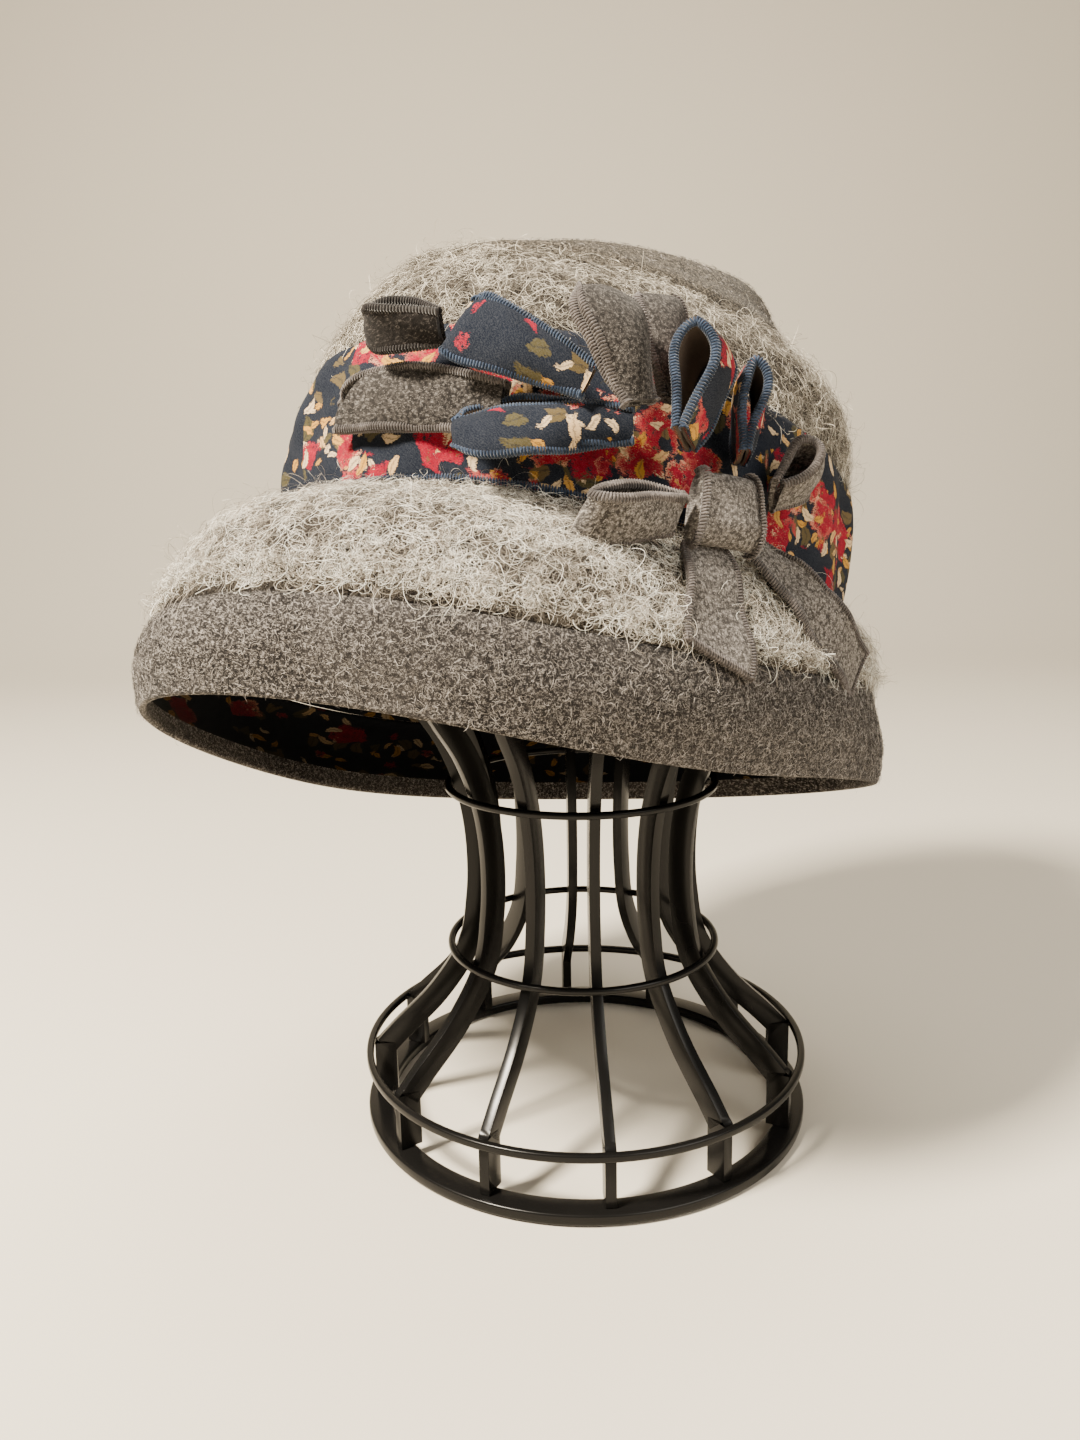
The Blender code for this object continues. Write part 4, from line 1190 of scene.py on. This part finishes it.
# The stand: one moulding of glossy black plastic, twelve bent ribs between a base ring, three hoops
# and a small ring at the top. Moulded edges are round.
STAND_AT = Vector((0.0044, 0.0139))
RIB_COUNT = 12
RIB_TURN = 1.0
RIB_WIDTH = 3.6 * MM
RIB_DEPTH = 8.0 * MM
BASE_HEIGHT = 4.0 * MM
BASE_OUTER = 82.0 * MM
BASE_INNER = 73.0 * MM
DISC_INNER = 6.0 * MM
DISC_THICK = 6.0 * MM
EDGE_ROUND = 0.9 * MM
RIB_PROFILE = (
    (79.0, 4.3), (79.0, 24.0), (71.5, 32.0), (57.5, 46.0), (46.4, 63.0), (43.0, 80.0),
    (42.2, 95.0), (43.2, 110.0), (46.0, 123.0), (52.0, 138.0), (62.0, 154.0), (69.5, 172.0),
    (71.0, 190.0), (68.2, 212.0), (61.5, 236.0), (50.0, 258.0), (36.0, 276.0), (18.0, 286.0),
)
HOOP_STEPS = 120
HOOPS = (
    ("base_hoop", 23.0, 3.0, 2.6),
    ("lower_hoop", 63.0, 2.4, 2.6),
    ("upper_hoop", 123.0, 2.4, 2.6),
)


def plastic_look():
    look, tree, shader = new_look("black_plastic", 0.24)
    shader.inputs["Specular IOR Level"].default_value = 0.16
    place = step(tree, "TexCoord", out=3)
    grain = noise(place, 900.0)
    handled = noise(place, 35.0, 4.0)
    rough = step(tree, "MapRange", {"Value": handled, "To Min": 0.16, "To Max": 0.30})
    tree.links.new(rough, shader.inputs["Roughness"])
    colour = mix(tree, handled, (0.003, 0.003, 0.003), (0.008, 0.0075, 0.007))
    finish_look(tree, shader, colour, grain, 0.06, 0.1 * MM)
    return look


PLASTIC = plastic_look()


def rib_line():
    """The rib's outer edge, smooth through its profile, with the square bend kept at the base."""
    table = np.array(RIB_PROFILE) * MM
    line = [table[0]]
    for k in range(1, len(table) - 1):
        a, b = table[k], table[k + 1]
        before = table[k - 1] if k > 1 else a - (b - a) * 0.6
        after = table[k + 2] if k + 2 < len(table) else 2 * b - a
        for f in np.linspace(0, 1, 6, endpoint=False):
            line.append(between(before, a, b, after, f))
    line.append(table[-1])
    return np.array(line)


def rib_shape(turn):
    """One rib, a flat bar that follows its line, with round edges."""
    line = rib_line()
    ahead = unit(np.gradient(line, axis=0))
    inward = np.stack([-ahead[:, 1], ahead[:, 0]], -1)
    inward[:2] = (-1.0, 0.0)
    inward[-1] = (0.0, -1.0)
    inner = line + inward * RIB_DEPTH
    shape = bmesh.new()
    strip = [[shape.verts.new((out, -RIB_WIDTH / 2, up)) for out, up in pair] for pair in zip(line, inner)]
    for (a, b), (c, d) in zip(strip, strip[1:]):
        shape.faces.new((a, b, d, c))
    sides = bmesh.ops.extrude_face_region(shape, geom=shape.faces[:])
    moved = [part for part in sides["geom"] if isinstance(part, bmesh.types.BMVert)]
    bmesh.ops.translate(shape, vec=(0.0, RIB_WIDTH, 0.0), verts=moved)
    bmesh.ops.recalc_face_normals(shape, faces=shape.faces)
    sharp = [edge for edge in shape.edges if edge.calc_face_angle(0.0) > math.radians(60)]
    bmesh.ops.bevel(shape, geom=sharp, offset=EDGE_ROUND, segments=3, profile=0.5, affect="EDGES",
                    material=-1, clamp_overlap=True)
    for face in shape.faces:
        face.smooth = True
    shape.transform(Matrix.Rotation(turn, 4, "Z"))
    return shape


def moulded(node, shape):
    add_piece("moulded_" + node, shape, PLASTIC, node,
              Matrix.Translation((*STAND_AT, 0.0)))


for number in range(RIB_COUNT):
    node = f"rib_{number + 1:02d}"
    turn = math.radians(RIB_TURN + number * 360 / RIB_COUNT)
    moulded(node, rib_shape(turn))


def hoop_shape(inner, outer, low, high):
    """A hoop turned from a square section with round corners."""
    shape = bmesh.new()
    ring = [shape.verts.new(corner) for corner in ((outer, 0, low), (outer, 0, high), (inner, 0, high),
                                                   (inner, 0, low))]
    shape.faces.new(ring)
    bmesh.ops.bevel(shape, geom=shape.verts[:], offset=EDGE_ROUND, segments=3, profile=0.5,
                    affect="VERTICES", material=-1)
    edges = shape.edges[:]
    bmesh.ops.delete(shape, geom=shape.faces[:], context="FACES_ONLY")
    bmesh.ops.spin(shape, geom=edges + shape.verts[:], cent=(0, 0, 0), axis=(0, 0, 1), angle=ROUND,
                   steps=HOOP_STEPS, use_merge=True)
    bmesh.ops.remove_doubles(shape, verts=shape.verts, dist=1e-7)
    bmesh.ops.recalc_face_normals(shape, faces=shape.faces)
    for face in shape.faces:
        face.smooth = True
    return shape


def rib_reach(height):
    table = np.array(RIB_PROFILE) * MM
    return float(np.interp(height, table[:, 1], table[:, 0]))


moulded("base_ring", hoop_shape(BASE_INNER, BASE_OUTER, 0.0, BASE_HEIGHT))
for node, height, tall, thick in HOOPS:
    low = (height - tall / 2) * MM
    high = (height + tall / 2) * MM
    inner = max(rib_reach(low), rib_reach(high)) + GAP
    moulded(node, hoop_shape(inner, inner + thick * MM, low, high))
reach, disc_top = RIB_PROFILE[-1]
moulded("top_disc", hoop_shape(DISC_INNER, reach * MM - GAP, disc_top * MM - DISC_THICK, disc_top * MM))

# The floor: a plain pale sweep that rises behind the hat, and soft warm lights, the strongest one
# high on the left of the view.
FLOOR_COLOUR = (0.64, 0.59, 0.50)
SWEEP_FLAT = 1.1
SWEEP_ROUND = 0.6
SWEEP_FRONT = 2.5
SWEEP_WIDE = 4.0
SWEEP_UP = 2.0
SWEEP_DROP = 0.0005       # below the stand, so that the two don't show through each other
view_right = Vector((math.cos(math.radians(CAMERA_TURN)), math.sin(math.radians(CAMERA_TURN)), 0.0))
view_ahead = Vector((-view_right.y, view_right.x, 0.0))
shape = bmesh.new()
bmesh.ops.create_grid(shape, x_segments=1, y_segments=64, size=1.0)
bend = math.pi / 2 * SWEEP_ROUND
for corner in shape.verts:
    along = (corner.co.y / 2 + 0.5) * (SWEEP_FRONT + SWEEP_FLAT + bend + SWEEP_UP) - SWEEP_FRONT
    turn = min(max(along - SWEEP_FLAT, 0.0) / SWEEP_ROUND, math.pi / 2)
    ahead = min(along, SWEEP_FLAT) + SWEEP_ROUND * math.sin(turn)
    up = SWEEP_ROUND * (1 - math.cos(turn)) + max(along - SWEEP_FLAT - bend, 0.0)
    corner.co = view_right * (corner.co.x * SWEEP_WIDE) + view_ahead * ahead
    corner.co.z = up - SWEEP_DROP
for face in shape.faces:
    face.smooth = True
floor = in_scene("floor", mesh_of("floor", shape))
look, _, shader = new_look("floor", 0.6)
shader.inputs["Base Color"].default_value = (*FLOOR_COLOUR, 1.0)
floor.data.materials.append(look)

LIT_HEIGHT = 0.2
LIGHTS = (
    ("key", -0.80, -0.55, 1.05, 0.26, 112.0, (1.0, 0.89, 0.73)),
    ("fill", 0.9, -0.9, 0.7, 0.9, 17.0, (1.0, 0.93, 0.82)),
    ("top", 0.1, 0.35, 1.3, 0.8, 13.0, (1.0, 0.94, 0.84)),
)
for name, right, ahead, up, size, power, tint in LIGHTS:
    lamp = bpy.data.lights.new(name, "AREA")
    lamp.size = size
    lamp.energy = power
    lamp.color = tint
    light = in_scene(name, lamp)
    light.location = view_right * right + view_ahead * ahead + Vector((0.0, 0.0, LIT_HEIGHT + up))
    to_hat = Vector((0.0, 0.0, LIT_HEIGHT)) - light.location
    light.rotation_euler = to_hat.to_track_quat("-Z", "Y").to_euler()

world = bpy.data.worlds.new("studio")
world.use_nodes = True
background = world.node_tree.nodes["Background"]
background.inputs["Color"].default_value = (0.98, 0.95, 0.87, 1.0)
background.inputs["Strength"].default_value = 0.18
bpy.context.scene.world = world
